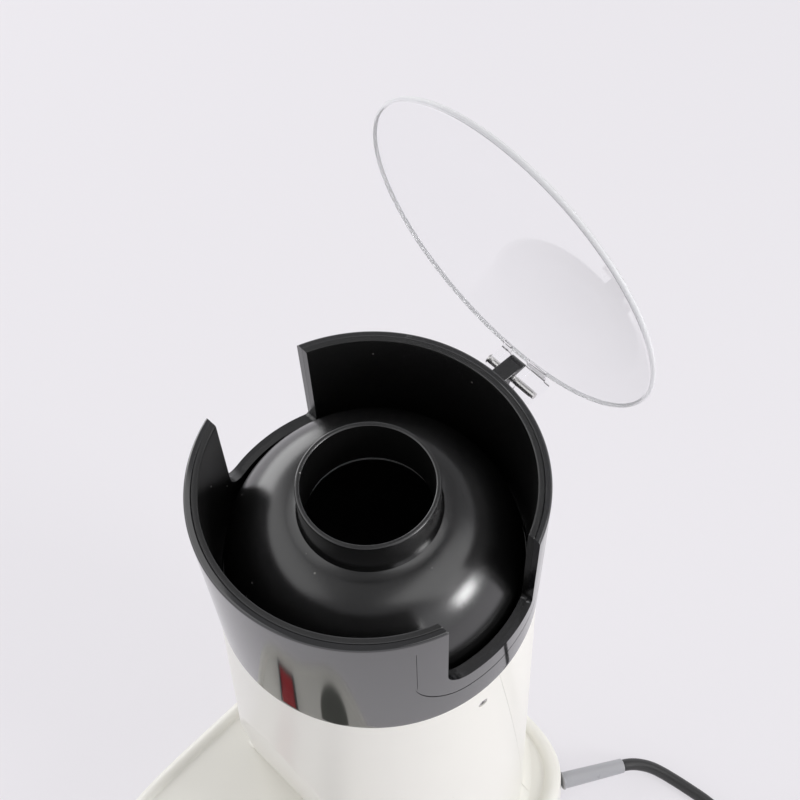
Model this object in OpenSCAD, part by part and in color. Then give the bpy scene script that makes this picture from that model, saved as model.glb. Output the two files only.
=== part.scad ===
// Tabletop hot-air popcorn maker: a round tower on a long tray, a black top collar with
// two pouring notches over a funnel, and a clear lid that swings up on a rear hinge.
// Millimetres, +Z up, front towards -Y. Origin: middle of the footprint, on the table.

/* [Height] */
// Rim of the top collar above the table
rim_z = 300; // [285:1:330]
// Height of the rubber feet
foot_h = 3; // [2:0.5:5]
// Deck of the tray above the table
deck_z = 26; // [24:0.5:34]
// Height of the black top collar
collar_h = 68; // [60:1:80]

/* [Tray] */
// Half width of the tray
tray_half_w = 79.5; // [76:0.5:95]
// Half length of the tray
tray_half_l = 111; // [104:1:130]
// Distance from the tower axis to the tray's rear edge
tower_setback = 63; // [62.6:0.1:68]
// Squareness of the rear half of the tray outline, 2 is an ellipse
rear_square = 4.8; // [3:0.1:6]
// Squareness of the front half of the tray outline, 2 is an ellipse
front_square = 3.8; // [3:0.1:5]
// Radius of the rounded lip round the tray
lip_r = 3.6; // [2.5:0.1:5]
// Drop from the top of the lip to the deck
dish_depth = 2.4; // [1:0.1:3.4]
// Moulded wall of the tray and the tower
wall = 2.5; // [2:0.1:3.2]
// Thickness of the bottom plate
plate_t = 2.5; // [2:0.1:4]

/* [Tower] */
// Step from the collar in to the top of the tower
collar_step = 1; // [0.8:0.1:2]
// Radius of the tower at its foot
tower_foot_r = 66.9; // [64:0.1:67.5]
// Distance the tower's foot sits in front of its top
foot_forward = 5.7; // [5:0.1:8]
// Radius of the flare where the tower meets the deck
flare_r = 5; // [2:0.5:7]
// Distance of the flattened front face from the axis, at the deck
front_flat_y = 47; // [46:0.5:52]
// Height at which the flattened front face starts
front_flat_top = 176; // [140:2:200]
// Height of the seam at the middle of the tower's sides
seam_z = 245; // [235:1:260]
// Lean of the seam between the front and rear shells
seam_lean = 8.5; // [4:0.5:12]

/* [Collar] */
// Outer radius of the collar at its rim
collar_r = 60; // [59.6:0.1:64]
// Narrowing of the collar towards its lower edge
collar_draft = 0.6; // [0:0.1:0.8]
// Wall of the glossy outer collar
collar_wall = 2.4; // [2:0.1:2.6]
// Wall of the liner inside the collar
liner_wall = 2.3; // [2:0.1:3]
// Width of each pouring notch
notch_w = 41.6; // [30:0.2:48]
// Depth of each notch below the rim
notch_depth = 43.2; // [34:0.2:46]
// Corner radius at the bottom of a notch
notch_corner = 8; // [3:0.5:12]
// Distance of the groove that follows each notch
groove_offset = 9.5; // [6:0.5:11]

/* [Funnel] */
// Inner radius of the neck
neck_r = 22.4; // [18:0.2:24]
// Wall of the neck
neck_wall = 1.8; // [1.4:0.1:2.4]
// Top of the neck below the rim
neck_drop = 3; // [1:0.5:8]
// Height of the neck above the dome
neck_h = 13; // [9:0.5:16]
// Wall of the dome
dome_wall = 2.4; // [2:0.1:3]

/* [Lid] */
// Step from the collar's rim in to the lid's edge
lid_inset = 0.8; // [0.3:0.1:2]
// Wall of the lid
lid_wall = 1.8; // [1.4:0.1:2.4]
// Rise of the lid's shallow dome
lid_rise = 6; // [3:0.5:9]
// Gap between the closed lid and the rim
lid_gap = 0.4; // [0.3:0.1:0.8]
// Width of the flat rim round the lid's underside
lid_rim = 2.5; // [1.5:0.5:4]
// Angle from closed at which the lid stands open
lid_open = 81; // [70:1:90]
// Distance of the hinge axis outside the collar
hinge_out = 4.8; // [4.6:0.1:8]
// Turn of the hinge from the middle of the rear towards the right-hand notch
hinge_turn = 3; // [0:0.5:5]
// Hinge axis below the rim
hinge_drop = 5; // [4:0.1:6]
// Radius of the hinge lug on the collar
lug_r = 4.3; // [3.6:0.1:4.6]
// Width of the hinge lug
lug_w = 6.4; // [5:0.2:8]
// Side clearance between the lug and the knuckles
knuckle_gap = 0.4; // [0.3:0.1:0.8]
// Length of the knuckle on the left of the lug
left_knuckle = 4.4; // [3:0.2:8]
// Length of the knuckle on the right of the lug
right_knuckle = 9; // [4:0.5:12]
// Radius of the lid's knuckles
knuckle_r = 3.6; // [3.2:0.1:4]
// Radius of the hinge pin
pin_r = 1.25; // [1:0.05:1.6]

/* [Switch] */
// Width of the switch frame
switch_w = 25; // [20:0.5:28]
// Length of the switch frame
switch_l = 30; // [26:0.5:32]
// Distance of the switch's middle from the tray's left side
switch_side = 50.5; // [46:0.5:56]
// Distance of the switch's middle from the tray's front edge
switch_inset = 28; // [27:0.5:34]
// Tilt of the rocker either side of level
rocker_tilt = 7; // [4:0.5:9]
// Radius of the round cup pad
pad_r = 18.5; // [15:0.5:19.5]
// Distance of the cup pad's middle from the tray's right side
pad_side = 42.5; // [39:0.5:50]
// Distance of the cup pad's middle from the tray's front edge
pad_inset = 33; // [32:0.5:38]
// Thickness of the cup pad
pad_t = 1.6; // [1.2:0.1:2]

/* [Air path] */
// Outer radius of the popping chamber
chamber_r = 31; // [28:0.5:33]
// Sheet thickness of the popping chamber
chamber_wall = 1; // [0.8:0.1:1.4]
// Depth of the popping chamber
chamber_depth = 100; // [85:1:110]
// Number of hot-air slots round the chamber
louvres = 16; // [10:1:20]
// Outer radius of the heater duct
duct_r = 40; // [37:0.5:41]
// Sheet thickness of the heater duct
duct_wall = 1; // [0.8:0.1:1.6]
// Height of the motor bracket above the deck
bracket_up = 44; // [42:1:50]
// Radius of the fan
fan_r = 33; // [26:0.5:35]
// Number of fan blades
fan_blades = 9; // [5:1:11]
// Radius of the motor
motor_r = 14; // [12:0.5:16]
// Length of the motor
motor_l = 31; // [26:1:34]
// Radius of the motor shaft
shaft_r = 1.6; // [1.2:0.1:2]
// Turns of the heating coil
coil_rings = 4; // [2:1:6]

/* [Fits] */
// Radial running clearance of the pins and the shaft
run_gap = 0.05; // [0.02:0.01:0.1]
// Clearance between parts that move past each other
move_gap = 0.4; // [0.3:0.05:0.6]
// Clearance between parts that slip together
slip_gap = 0.3; // [0.2:0.05:0.4]

/* [Cord] */
// Radius of the mains cord
cord_r = 3; // [2.6:0.05:3.4]
// Length of the strain relief outside the tray
relief_l = 33.4; // [24:0.2:40]
// Radius of the strain relief at the tray
relief_r = 4.2; // [3.9:0.1:4.6]

/* [Hidden] */
$fn = 64;

// Sizes that follow the collar
tower_top_r = collar_r - collar_step;
lid_r = collar_r - lid_inset;
hinge_r = collar_r + hinge_out;

// Overall length and the places of the tower and the tray on it
lid_back = (knuckle_r - 1) * cos(lid_open) + (hinge_drop + lid_gap + lid_wall) * sin(lid_open);
left_end = lug_w / 2 + knuckle_gap + left_knuckle;
rear_reach = (hinge_r + lid_back) * cos(hinge_turn) + left_end * sin(hinge_turn);
overall_l = 2 * tray_half_l + rear_reach - tower_setback;
tower_y = overall_l / 2 - rear_reach;
tray_y = tower_y + tower_setback - tray_half_l;
switch_x = switch_side - tray_half_w;
switch_front = 2 * tray_half_l - tower_setback - switch_inset;
pad_x = tray_half_w - pad_side;
pad_front = 2 * tray_half_l - tower_setback - pad_inset;
lip_top = deck_z + dish_depth;

// Heights in the tower
collar_z = rim_z - collar_h;
sill_z = rim_z - notch_depth;
neck_top = rim_z - neck_drop;
neck_base = neck_top - neck_h;
neck_out = neck_r + neck_wall;
liner_out = collar_r - collar_wall;
liner_in = liner_out - liner_wall;
seat_h = 8;
seat_z = collar_z + seat_h;
gasket_t = 2;
neck_foot = neck_base - 8;
chamber_top = neck_foot - gasket_t;
chamber_z = chamber_top - chamber_depth;
bracket_z = deck_z + bracket_up;
bracket_t = 3;
duct_z = bracket_z;
duct_top = chamber_z + 22;
motor_top = bracket_z - bracket_t;
hinge_y = hinge_r;
hinge_z = rim_z - hinge_drop;
lid_plane = rim_z + lid_gap;
taper = (tower_foot_r - tower_top_r) / (collar_z - deck_z);

function spow(v, e) = sign(v) * pow(abs(v), e);
function tray_pt(inset, t) = [
    (tray_half_w - inset) * spow(cos(t), 2 / (t < 180 ? rear_square : front_square)),
    (tray_half_l - inset) * spow(sin(t), 2 / (t < 180 ? rear_square : front_square))];
function tray_outline(inset, n = 72) = [for (i = [0:n - 1]) tray_pt(inset, 360 * i / n)];

// A closed solid through rings of the tray outline; each ring is [inset, z]
module tray_loft(rings, n = 72) {
    m = len(rings);
    pts = [for (r = rings) for (p = tray_outline(r[0], n)) [p[0], p[1], r[1]]];
    sides = [for (k = [0:m - 2]) for (i = [0:n - 1])
        [k * n + i, (k + 1) * n + i, (k + 1) * n + (i + 1) % n, k * n + (i + 1) % n]];
    low = [for (i = [0:n - 1]) i];
    high = [for (i = [n - 1:-1:0]) (m - 1) * n + i];
    polyhedron(points = pts, faces = concat(sides, [low, high]), convexity = 6);
}

module at_tray() translate([0, tray_y, 0]) children();
module at_tower() translate([0, tower_y, 0]) children();
module ring(r_out, r_in, z0, z1) {
    translate([0, 0, z0]) difference() {
        cylinder(r = r_out, h = z1 - z0);
        translate([0, 0, -1]) cylinder(r = r_in, h = z1 - z0 + 2);
    }
}
module disc(r, z0, z1) translate([0, 0, z0]) cylinder(r = r, h = z1 - z0);
module along_x(x0, x1) translate([x0, 0, 0]) rotate([90, 0, 90]) linear_extrude(x1 - x0) children();
module box(lo, hi) translate(lo) cube(hi - lo);

// ---- Tray ----
tray_low = foot_h;
draft = 1.2;
screw_spots = [[-52, -62], [52, -62], [-52, 62], [40, 74]];
foot_spots = [[-50, -84], [50, -84], [-56, 30], [56, 30]];
boss_r = 4.2;
screw_r = 1.5;
shaft_hole_r = 42;
cutout_gap = 0.2;
relief_angle = 53;
relief_z = 13;

lip_c = lip_top - lip_r;
deck_inset = draft + 2 * lip_r + 0.6;
function lip_arc(grow) = [for (a = [0:22.5:157.5])
    [draft + lip_r - (lip_r + grow) * cos(a), lip_c + (lip_r + grow) * sin(a)]];
module lip_and_side() {
    tray_loft(concat([[0.8, tray_low], [0, tray_low + 1.2]], lip_arc(0), [[deck_inset, deck_z]]));
}
// The room the lip takes from whatever stands on the tray
module lip_room() {
    tray_loft(concat([[-3, deck_z - 9], [-3, lip_c]], lip_arc(0.03), [[deck_inset + 0.6, deck_z - 0.6]]));
}
module tray_hollow() {
    inner = wall + draft;
    tray_loft([[wall + 0.8, tray_low - 1], [wall + 0.8, tray_low + plate_t],
        [inner, deck_z - wall - 3], [inner + 3, deck_z - wall]]);
}
module tray() {
    color("ivory") difference() {
        at_tray() difference() {
            union() {
                difference() {
                    lip_and_side();
                    tray_hollow();
                }
                for (s = screw_spots)
                    translate([s[0], s[1], tray_low + plate_t])
                        cylinder(r = boss_r, h = deck_z - wall - tray_low - plate_t + 1);
                pad_well(wall);
            }
            for (s = screw_spots)
                translate([s[0], s[1], tray_low]) cylinder(r = screw_r, h = 14);
            to_tower() disc(shaft_hole_r, deck_z - wall - 1, deck_z + 1);
            to_tower() switch_place() switch_cut();
            pad_well(0);
        }
        at_relief() translate([0, 0, -12]) cylinder(r = relief_neck_r, h = 30);
    }
}
module to_tray() translate([0, tray_y - tower_y, 0]) children();
module to_tower() translate([0, tower_y - tray_y, 0]) children();
module switch_place() translate([switch_x, -switch_front, 0]) children();
module switch_cut() {
    w = switch_w - 2 * frame_lap + 2 * cutout_gap;
    l = switch_l - 2 * frame_lap + 2 * cutout_gap;
    translate([-w / 2, -l / 2, deck_z - wall - 1]) cube([w, l, wall + 2]);
}
// The shallow round well that takes the cup pad, or with a wall the cup of plastic under it
module pad_well(skin) {
    to_tower() translate([pad_x, -pad_front, 0])
        disc(pad_r + (skin > 0 ? skin : slip_gap), deck_z - pad_t - skin, deck_z - (skin > 0 ? 0.5 : -1));
}
module cup_pad() {
    color([0.3, 0.31, 0.28]) at_tower() translate([pad_x, -pad_front, 0]) difference() {
        disc(pad_r, deck_z - pad_t, deck_z);
        for (r = [pad_r - 3, pad_r - 7]) ring(r, r - 1, deck_z - 0.4, deck_z + 1);
    }
}

// ---- Bottom plate, feet and screws ----
vent_w = 3;
vent_rows = [12, 20, 28, 36];
module slot_2d(len_, w) {
    square([len_ - w, w], center = true);
    for (s = [-1, 1]) translate([s * (len_ - w) / 2, 0]) circle(d = w);
}
foot_r = 8;
module bottom_plate() {
    color("ivory") at_tray() difference() {
        translate([0, 0, tray_low]) linear_extrude(plate_t)
            polygon(tray_outline(wall + 0.8 + slip_gap));
        for (s = screw_spots) translate([s[0], s[1], tray_low - 1]) cylinder(r = screw_r + 0.2, h = 9);
        for (s = foot_spots) translate([s[0], s[1], tray_low - 1]) cylinder(r = foot_stem_r, h = 9);
        to_tower() for (k = [0:len(vent_rows) - 1]) {
            count = 4 + 4 * k;
            for (i = [0:count - 1])
                rotate([0, 0, 360 * (i + 0.5 * (k % 2)) / count]) translate([vent_rows[k], 0, tray_low - 1])
                    rotate([0, 0, 90]) linear_extrude(plate_t + 2) slot_2d(11, vent_w);
        }
    }
}
foot_stem_r = 2.5;
module feet() {
    color([0.12, 0.12, 0.12]) at_tray() for (s = foot_spots) translate([s[0], s[1], 0]) {
        cylinder(r1 = foot_r - 1, r2 = foot_r, h = foot_h);
        cylinder(r = foot_stem_r, h = foot_h + plate_t + 1);
        translate([0, 0, foot_h + plate_t]) cylinder(r1 = foot_stem_r + 1, r2 = foot_stem_r, h = 1.5);
    }
}
module base_screws() {
    color("silver") at_tray() for (s = screw_spots) translate([s[0], s[1], 0]) {
        disc(screw_r, tray_low - 0.4, tray_low + 12);
        difference() {
            disc(2.9, tray_low - 1.6, tray_low);
            for (a = [0, 90]) rotate([0, 0, a]) box([-1.6, -0.35, tray_low - 2], [1.6, 0.35, tray_low - 0.9]);
        }
    }
}

// ---- Tower shells ----
// The tower is a cone whose foot sits a little in front of its top
lean = asin(foot_forward / (collar_z - deck_z));
module leaning() translate([0, 0, collar_z]) rotate([-lean, 0, 0]) translate([0, 0, -collar_z]) children();
module slab(z0, z1) box([-95, -95, z0], [95, 95, z1]);
// Solid of the tower, drawn in by inset all round
module tower_solid(inset, z0, z1) {
    low = deck_z - 10;
    high = collar_z + 10;
    intersection() {
        leaning() translate([0, 0, low]) cylinder(r1 = tower_foot_r + 10 * taper - inset,
            r2 = tower_top_r - 10 * taper - inset, h = high - low, $fn = 96);
        slab(z0, z1);
    }
}
// Flare round the foot of the tower, trimmed where it would climb the lip
module flare() {
    r0 = tower_foot_r - 0.3;
    intersection() {
        translate([0, -foot_forward, deck_z]) rotate_extrude($fn = 96) difference() {
            translate([r0 - 1.5, 0]) square([flare_r + 1.5, flare_r]);
            translate([r0 + flare_r, flare_r + 0.4]) circle(r = flare_r, $fn = 48);
        }
        to_tray() translate([0, 0, deck_z - 1]) linear_extrude(flare_r + 2)
            polygon(tray_outline(deck_inset + 0.1));
    }
}
flat_lean = atan((tower_front(front_flat_top) - front_flat_y) / (front_flat_top - deck_z));
// How far the cone's front stands from the axis at a height
function tower_front(z) = tower_top_r + (taper + tan(lean)) * (collar_z - z);
module front_cut(inset) {
    translate([0, -front_flat_y + inset, deck_z]) rotate([flat_lean, 0, 0])
        box([-90, -60, -30], [90, 0, 260]);
}
module tower_body(inset, z0, z1) {
    difference() {
        tower_solid(inset, z0, z1);
        front_cut(inset);
    }
}
module seam_half(front, gap) {
    translate([0, 0, seam_z]) rotate([seam_lean, 0, 0])
        box([-90, front ? -200 : gap, -300], [90, front ? -gap : 200, 120]);
}
module tower_shell(front) {
    intersection() {
        difference() {
            union() {
                tower_body(0, deck_z, collar_z);
                difference() {
                    flare();
                    front_cut(0);
                }
                // The neck that the collar slips over
                disc(collar_seat_r, collar_z - 2, seat_z);
            }
            tower_body(wall, deck_z - 1, collar_z - 8);
            disc(collar_seat_r - 3, collar_z - 9, seat_z + 1);
            to_tray() lip_room();
        }
        seam_half(front, 0.05);
    }
}
collar_seat_r = liner_out - collar_draft - slip_gap;
screw_turn = -6;
screw_up = collar_z - 12.5;
side_screw_r = 1.3;
side_head_r = 1.9;
module side_screw_axis(side) {
    translate([0, 0, screw_up]) rotate([0, 0, side > 0 ? screw_turn : 180 - screw_turn])
        rotate([0, 90, 0]) children();
}
tower_screw_r = tower_top_r + taper * (collar_z - screw_up);
tongue_t = 4.6;
tongue_reach = 11;
tongue_root = 13;
tongue_r = tower_screw_r - wall - 1.8;
module front_shell() {
    color("ivory") at_tower() difference() {
        tower_shell(true);
        for (s = [-1, 1]) side_screw_axis(s) {
            translate([0, 0, tower_screw_r - 10]) cylinder(r = side_screw_r + 0.1, h = 20);
            translate([0, 0, tower_screw_r - 1.2]) cylinder(r = side_head_r + 0.15, h = 5);
        }
    }
}
module rear_shell() {
    color("ivory") at_tower() {
        tower_shell(false);
        // Tongues behind the front shell that the side screws bite into
        for (s = [0, 1]) mirror([s, 0, 0]) difference() {
            union() {
                box([tongue_r - tongue_t, -tongue_reach, screw_up - 7],
                    [tongue_r, tongue_root, screw_up + 4]);
                box([tongue_r - tongue_t, tongue_root - 5.5, screw_up - 7],
                    [tongue_r + 2.2, tongue_root, screw_up + 4]);
            }
            side_screw_axis(1) translate([0, 0, tongue_r - 15]) cylinder(r = side_screw_r, h = 25);
        }
    }
}
module shell_screws() {
    color("silver") at_tower() for (s = [-1, 1]) side_screw_axis(s) {
        translate([0, 0, tower_screw_r - 8]) cylinder(r = side_screw_r, h = 7);
        difference() {
            translate([0, 0, tower_screw_r - 1.2]) cylinder(r = side_head_r, h = 1.1);
            for (a = [0, 90]) rotate([0, 0, a])
                box([-1.1, -0.3, tower_screw_r - 0.7], [1.1, 0.3, tower_screw_r + 1]);
        }
    }
}

// ---- Collar ----
// Upright outline of a pouring notch, grown by off all round
module notch_2d(off) {
    half = notch_w / 2 + off;
    r = notch_corner + off;
    low = sill_z - off;
    translate([-half + r, low]) square([2 * (half - r), 80]);
    translate([-half, low + r]) square([2 * half, 80]);
    for (s = [-1, 1]) translate([s * (half - r), low + r]) circle(r = r);
}
module notch_cut(off, reach) along_x(-reach, reach) notch_2d(off);
collar_lip = 0.9;
groove_w = 0.7;
groove_depth = 0.45;
module collar_ring() {
    low_r = collar_r - collar_draft;
    rotate_extrude($fn = 128) {
        polygon([[liner_out - collar_draft, collar_z], [low_r, collar_z],
            [collar_r, rim_z - collar_lip], [collar_r - collar_lip, rim_z], [liner_out, rim_z],
            [liner_out, seat_z + 6]]);
        translate([collar_r - collar_lip, rim_z - collar_lip]) circle(r = collar_lip, $fn = 32);
    }
}
module lug_2d(r) {
    translate([hinge_y, hinge_z]) circle(r = r);
    polygon([[collar_r - 1.5, hinge_z + r], [hinge_y, hinge_z + r], [hinge_y + r, hinge_z],
        [hinge_y, hinge_z - r], [collar_r - 1.5, hinge_z - r - 6]]);
}
module top_collar() {
    color([0.03, 0.03, 0.03]) at_tower() difference() {
        union() {
            difference() {
                collar_ring();
                notch_cut(0, 80);
                // Groove that follows each notch on the outside
                difference() {
                    intersection() {
                        difference() {
                            notch_cut(groove_offset + groove_w, 80);
                            notch_cut(groove_offset, 90);
                        }
                        disc(80, collar_z, rim_z - 8);
                    }
                    translate([0, 0, collar_z]) cylinder(h = rim_z - collar_lip - collar_z,
                        r1 = collar_r - collar_draft - groove_depth, r2 = collar_r - groove_depth);
                }
            }
            at_hinge() along_x(-lug_w / 2, lug_w / 2) lug_2d(lug_r);
        }
        disc(liner_out, sill_z - 20, rim_z + 2);
        at_hinge() along_x(-lug_w, lug_w) translate([hinge_y, hinge_z])
            circle(r = pin_r + run_gap, $fn = 32);
    }
}

// ---- Funnel: liner, dome and neck in one moulding ----
dome_foot_r = liner_in - 3.4;
dome_foot_z = sill_z - 13;
function dome_pt(t) = [
    neck_out + 2.5 + (dome_foot_r - neck_out - 2.5) * sin(t * 90),
    neck_base - 2 - (neck_base - 2 - dome_foot_z) * (1 - cos(t * 90))];
module funnel_2d() {
    steps = 10;
    outer = [for (i = [0:steps]) dome_pt(i / steps)];
    inner = [for (i = [steps:-1:0]) dome_pt(i / steps) - [dome_wall * sin(90 * i / steps), dome_wall]];
    polygon(concat([[neck_out, neck_base]], outer, [[liner_in, dome_foot_z - 1], [liner_in, rim_z - 0.7],
        [liner_in + 0.7, rim_z], [liner_out - 0.2, rim_z], [liner_out, rim_z - 0.2], [liner_out, seat_z],
        [liner_in - 1, seat_z], [dome_foot_r - dome_wall, dome_foot_z - dome_wall - 1]],
        inner, [[neck_out, neck_foot], [neck_r, neck_foot], [neck_r, neck_top - 0.6],
        [neck_r + 0.6, neck_top], [neck_out - 0.6, neck_top], [neck_out, neck_top - 0.6]]));
}
module funnel() {
    color([0.05, 0.05, 0.05]) at_tower() difference() {
        rotate_extrude($fn = 128) funnel_2d();
        difference() {
            notch_cut(0, 80);
            disc(liner_in - 0.5, sill_z - 30, rim_z + 1);
        }
    }
}

// ---- Lid ----
module at_hinge() rotate([0, 0, -hinge_turn]) children();
module lid_turn() {
    at_hinge() translate([0, hinge_y, hinge_z]) rotate([-lid_open, 0, 0])
        translate([0, -hinge_y, -hinge_z]) children();
}
function cap_r(rise, r) = (r * r + rise * rise) / (2 * rise);
module lid_shell() {
    big = cap_r(lid_rise, lid_r);
    base = lid_plane + lid_wall;
    rotate_extrude($fn = 128) union() {
        difference() {
            intersection() {
                translate([0, base + lid_rise - big]) circle(r = big, $fn = 256);
                translate([0, lid_plane]) square([lid_r - 0.9, lid_rise + 8]);
            }
            translate([0, base + lid_rise - big - lid_wall]) circle(r = big, $fn = 256);
        }
        translate([lid_r - 0.9 - lid_rim, lid_plane]) square([lid_rim, lid_wall]);
        translate([lid_r - 0.9, lid_plane + 0.9]) circle(r = 0.9, $fn = 32);
    }
}
module knuckle_2d() {
    difference() {
        union() {
            translate([hinge_y, hinge_z]) circle(r = knuckle_r);
            polygon([[hinge_y + knuckle_r, hinge_z], [hinge_y + knuckle_r, lid_plane + lid_wall - 0.6],
                [hinge_y + knuckle_r - 1, lid_plane + lid_wall], [lid_r - 5, lid_plane + lid_wall],
                [lid_r - 5, lid_plane], [hinge_y - knuckle_r, lid_plane],
                [hinge_y - knuckle_r, hinge_z]]);
        }
        translate([hinge_y, hinge_z]) circle(r = pin_r, $fn = 32);
    }
}
module lid() {
    color([0.8, 0.85, 0.9, 0.4]) at_tower() lid_turn() {
        lid_shell();
        along_x(-lug_w / 2 - knuckle_gap - left_knuckle, -lug_w / 2 - knuckle_gap) knuckle_2d();
        along_x(lug_w / 2 + knuckle_gap, lug_w / 2 + knuckle_gap + right_knuckle) knuckle_2d();
    }
}
module hinge_pin() {
    left = -lug_w / 2 - knuckle_gap - left_knuckle;
    right = lug_w / 2 + knuckle_gap + right_knuckle;
    color("dimgray") at_tower() at_hinge() {
        along_x(left - 1.2, right) translate([hinge_y, hinge_z]) circle(r = pin_r, $fn = 32);
        along_x(left - 1.2, left) translate([hinge_y, hinge_z]) circle(r = pin_r + 0.7, $fn = 32);
    }
}

// ---- Popping chamber and heater ----
module chamber_gasket() {
    color("gray") at_tower() ring(chamber_r + 2, neck_r + 0.6, chamber_top, neck_foot);
}
module popping_chamber() {
    hole_r = 1.5;
    slot_h = 12;
    color("silver") at_tower() difference() {
        union() {
            ring(chamber_r, chamber_r - chamber_wall, chamber_z, chamber_top);
            ring(chamber_r + 2, chamber_r - chamber_wall, chamber_top - 1, chamber_top);
            disc(chamber_r, chamber_z, chamber_z + 1.2);
        }
        // Slanted louvres that make the hot air swirl
        for (i = [0:louvres - 1]) rotate([0, 0, 360 * i / louvres])
            translate([chamber_r, 0, chamber_z + 4 + slot_h / 2]) rotate([28, 0, 0])
                cube([8, 1.6, slot_h], center = true);
        // Rings of round holes in the bottom
        for (k = [0:3]) for (i = [0:max(0, 6 * k - 1)])
            rotate([0, 0, 360 * i / max(1, 6 * k) + 8 * k]) translate([7.2 * k, 0, chamber_z - 1])
                cylinder(r = hole_r, h = 4, $fn = 24);
    }
}
module heater_duct() {
    color("lightsteelblue") at_tower() {
        ring(duct_r, duct_r - duct_wall, duct_z, duct_top);
        ring(duct_r, chamber_r, duct_top - 1.2, duct_top);
    }
}
heater_z0 = duct_z + 36;
heater_z1 = chamber_z - 6;
mica_t = 0.8;
module heater_rings(wire_r) {
    pitch = (heater_z1 - heater_z0 - 8) / coil_rings;
    for (i = [0:coil_rings - 1]) translate([0, 0, heater_z0 + 4 + pitch * (i + 0.5)])
        rotate_extrude($fn = 96) translate([coil_ring_r, 0]) circle(r = wire_r, $fn = 24);
}
module mica_frame() {
    reach = duct_r - duct_wall;
    color("tan") at_tower() difference() {
        for (a = [0, 90]) rotate([0, 0, a])
            box([-reach, -mica_t / 2, heater_z0], [reach, mica_t / 2, heater_z1]);
        heater_rings(coil_wire_r);
    }
}
coil_wire_r = 1.8;
coil_ring_r = 24;
module heater_coil() {
    color("sienna") at_tower() heater_rings(coil_wire_r);
}
module thermal_cutout() {
    color("goldenrod") at_tower() rotate([0, 0, 60]) translate([duct_r, 0, heater_z1 - 10]) {
        rotate([0, 90, 0]) cylinder(r = 6, h = 5);
        box([0, -9, -3.5], [1, 9, 3.5]);
    }
}

// ---- Motor and fan ----
boss_ring = 5;
leg_r = 3;
leg_ring = 35.5;
module motor_bracket() {
    color([0.2, 0.2, 0.2]) at_tower() {
        difference() {
            disc(duct_r, motor_top, bracket_z);
            disc(boss_ring, motor_top - 1, bracket_z + 1);
            for (i = [0:5]) rotate([0, 0, 60 * i + 30]) translate([0, 0, motor_top - 1])
                linear_extrude(bracket_t + 2) difference() {
                    intersection() {
                        circle(r = 31);
                        polygon([[0, 0], [60, 28], [60, -28]]);
                    }
                    circle(r = 17);
                }
        }
        for (i = [0:2]) rotate([0, 0, 120 * i + 90]) translate([leg_ring, 0, 0])
            disc(leg_r, deck_z, motor_top + 1);
        for (i = [0:2]) rotate([0, 0, 120 * i + 90])
            box([leg_ring - leg_r, -leg_r, deck_z], [shaft_hole_r + 4, leg_r, deck_z + 3]);
    }
}
module motor() {
    bush_r = 4.6;
    color("gray") at_tower() difference() {
        union() {
            disc(motor_r, motor_top - motor_l, motor_top);
            disc(bush_r, motor_top - motor_l - 2, bracket_z);
        }
        disc(shaft_r + run_gap, motor_top - motor_l - 3, bracket_z + 1);
    }
}
fan_z = bracket_z + 6;
fan_h = 13;
hub_r = 7;
module fan() {
    color([0.15, 0.15, 0.15]) at_tower() difference() {
        union() {
            disc(hub_r, fan_z, fan_z + fan_h);
            for (i = [0:fan_blades - 1]) rotate([0, 0, 360 * i / fan_blades]) intersection() {
                translate([hub_r - 1, 0, fan_z + fan_h / 2]) rotate([38, 0, 0])
                    translate([0, -0.8, -fan_h]) cube([fan_r - hub_r + 4, 1.6, 2 * fan_h]);
                disc(fan_r, fan_z, fan_z + fan_h);
            }
        }
        disc(shaft_r, fan_z - 1, fan_z + fan_h + 1);
    }
}
module motor_shaft() {
    low = motor_top - motor_l - 2;
    color("silver") at_tower() {
        disc(shaft_r, low - 4, fan_z + fan_h + 2);
        disc(3, low - 1.5, low - move_gap);
        disc(3, bracket_z + move_gap, fan_z);
    }
}
board_at = [-8, -84];
module rectifier_board() {
    floor_z = tray_low + plate_t;
    color("seagreen") at_tower() translate([board_at[0], board_at[1], floor_z]) {
        box([-20, -13, 4], [20, 13, 5.6]);
        for (x = [-16, 16]) for (y = [-9, 9]) translate([x, y, 0]) cylinder(r = 2, h = 4.5);
        for (x = [-8, 8]) translate([x, 0, 5]) cylinder(r = 3, h = 7);
        for (x = [-1, 13]) box([x - 1.5, 4, 5], [x + 1.5, 9, 9]);
    }
}

// ---- Switch ----
frame_lap = 1.6;
frame_t = 2;
pivot_r = 1.5;
rocker_r = switch_l / 2 - frame_lap - 1.6;
rocker_w = switch_w - 2 * frame_lap - 2.4;
rocker_pivot_z = deck_z + 1;
module frame_2d(w, l, r) {
    square([w - 2 * r, l], center = true);
    square([w, l - 2 * r], center = true);
    for (x = [-1, 1]) for (y = [-1, 1]) translate([x * (w / 2 - r), y * (l / 2 - r)]) circle(r = r);
}
module switch_frame() {
    body_w = switch_w - 2 * frame_lap;
    body_l = switch_l - 2 * frame_lap;
    color([0.04, 0.04, 0.04]) at_tower() switch_place() difference() {
        union() {
            translate([0, 0, deck_z]) linear_extrude(frame_t) frame_2d(switch_w, switch_l, 1.5);
            box([-body_w / 2, -body_l / 2, deck_z - 15], [body_w / 2, body_l / 2, deck_z]);
            for (x = [-6, 6]) box([x - 2.4, -0.4, deck_z - 17.5], [x + 2.4, 0.4, deck_z - 15]);
        }
        box([-rocker_w / 2 - move_gap, -rocker_r - move_gap, deck_z - 9],
            [rocker_w / 2 + move_gap, rocker_r + move_gap, deck_z + 3]);
        translate([0, 0, rocker_pivot_z - 2.4]) rotate([0, 90, 0])
            cylinder(r = pivot_r + run_gap, h = body_w - 1, center = true, $fn = 32);
    }
}
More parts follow.
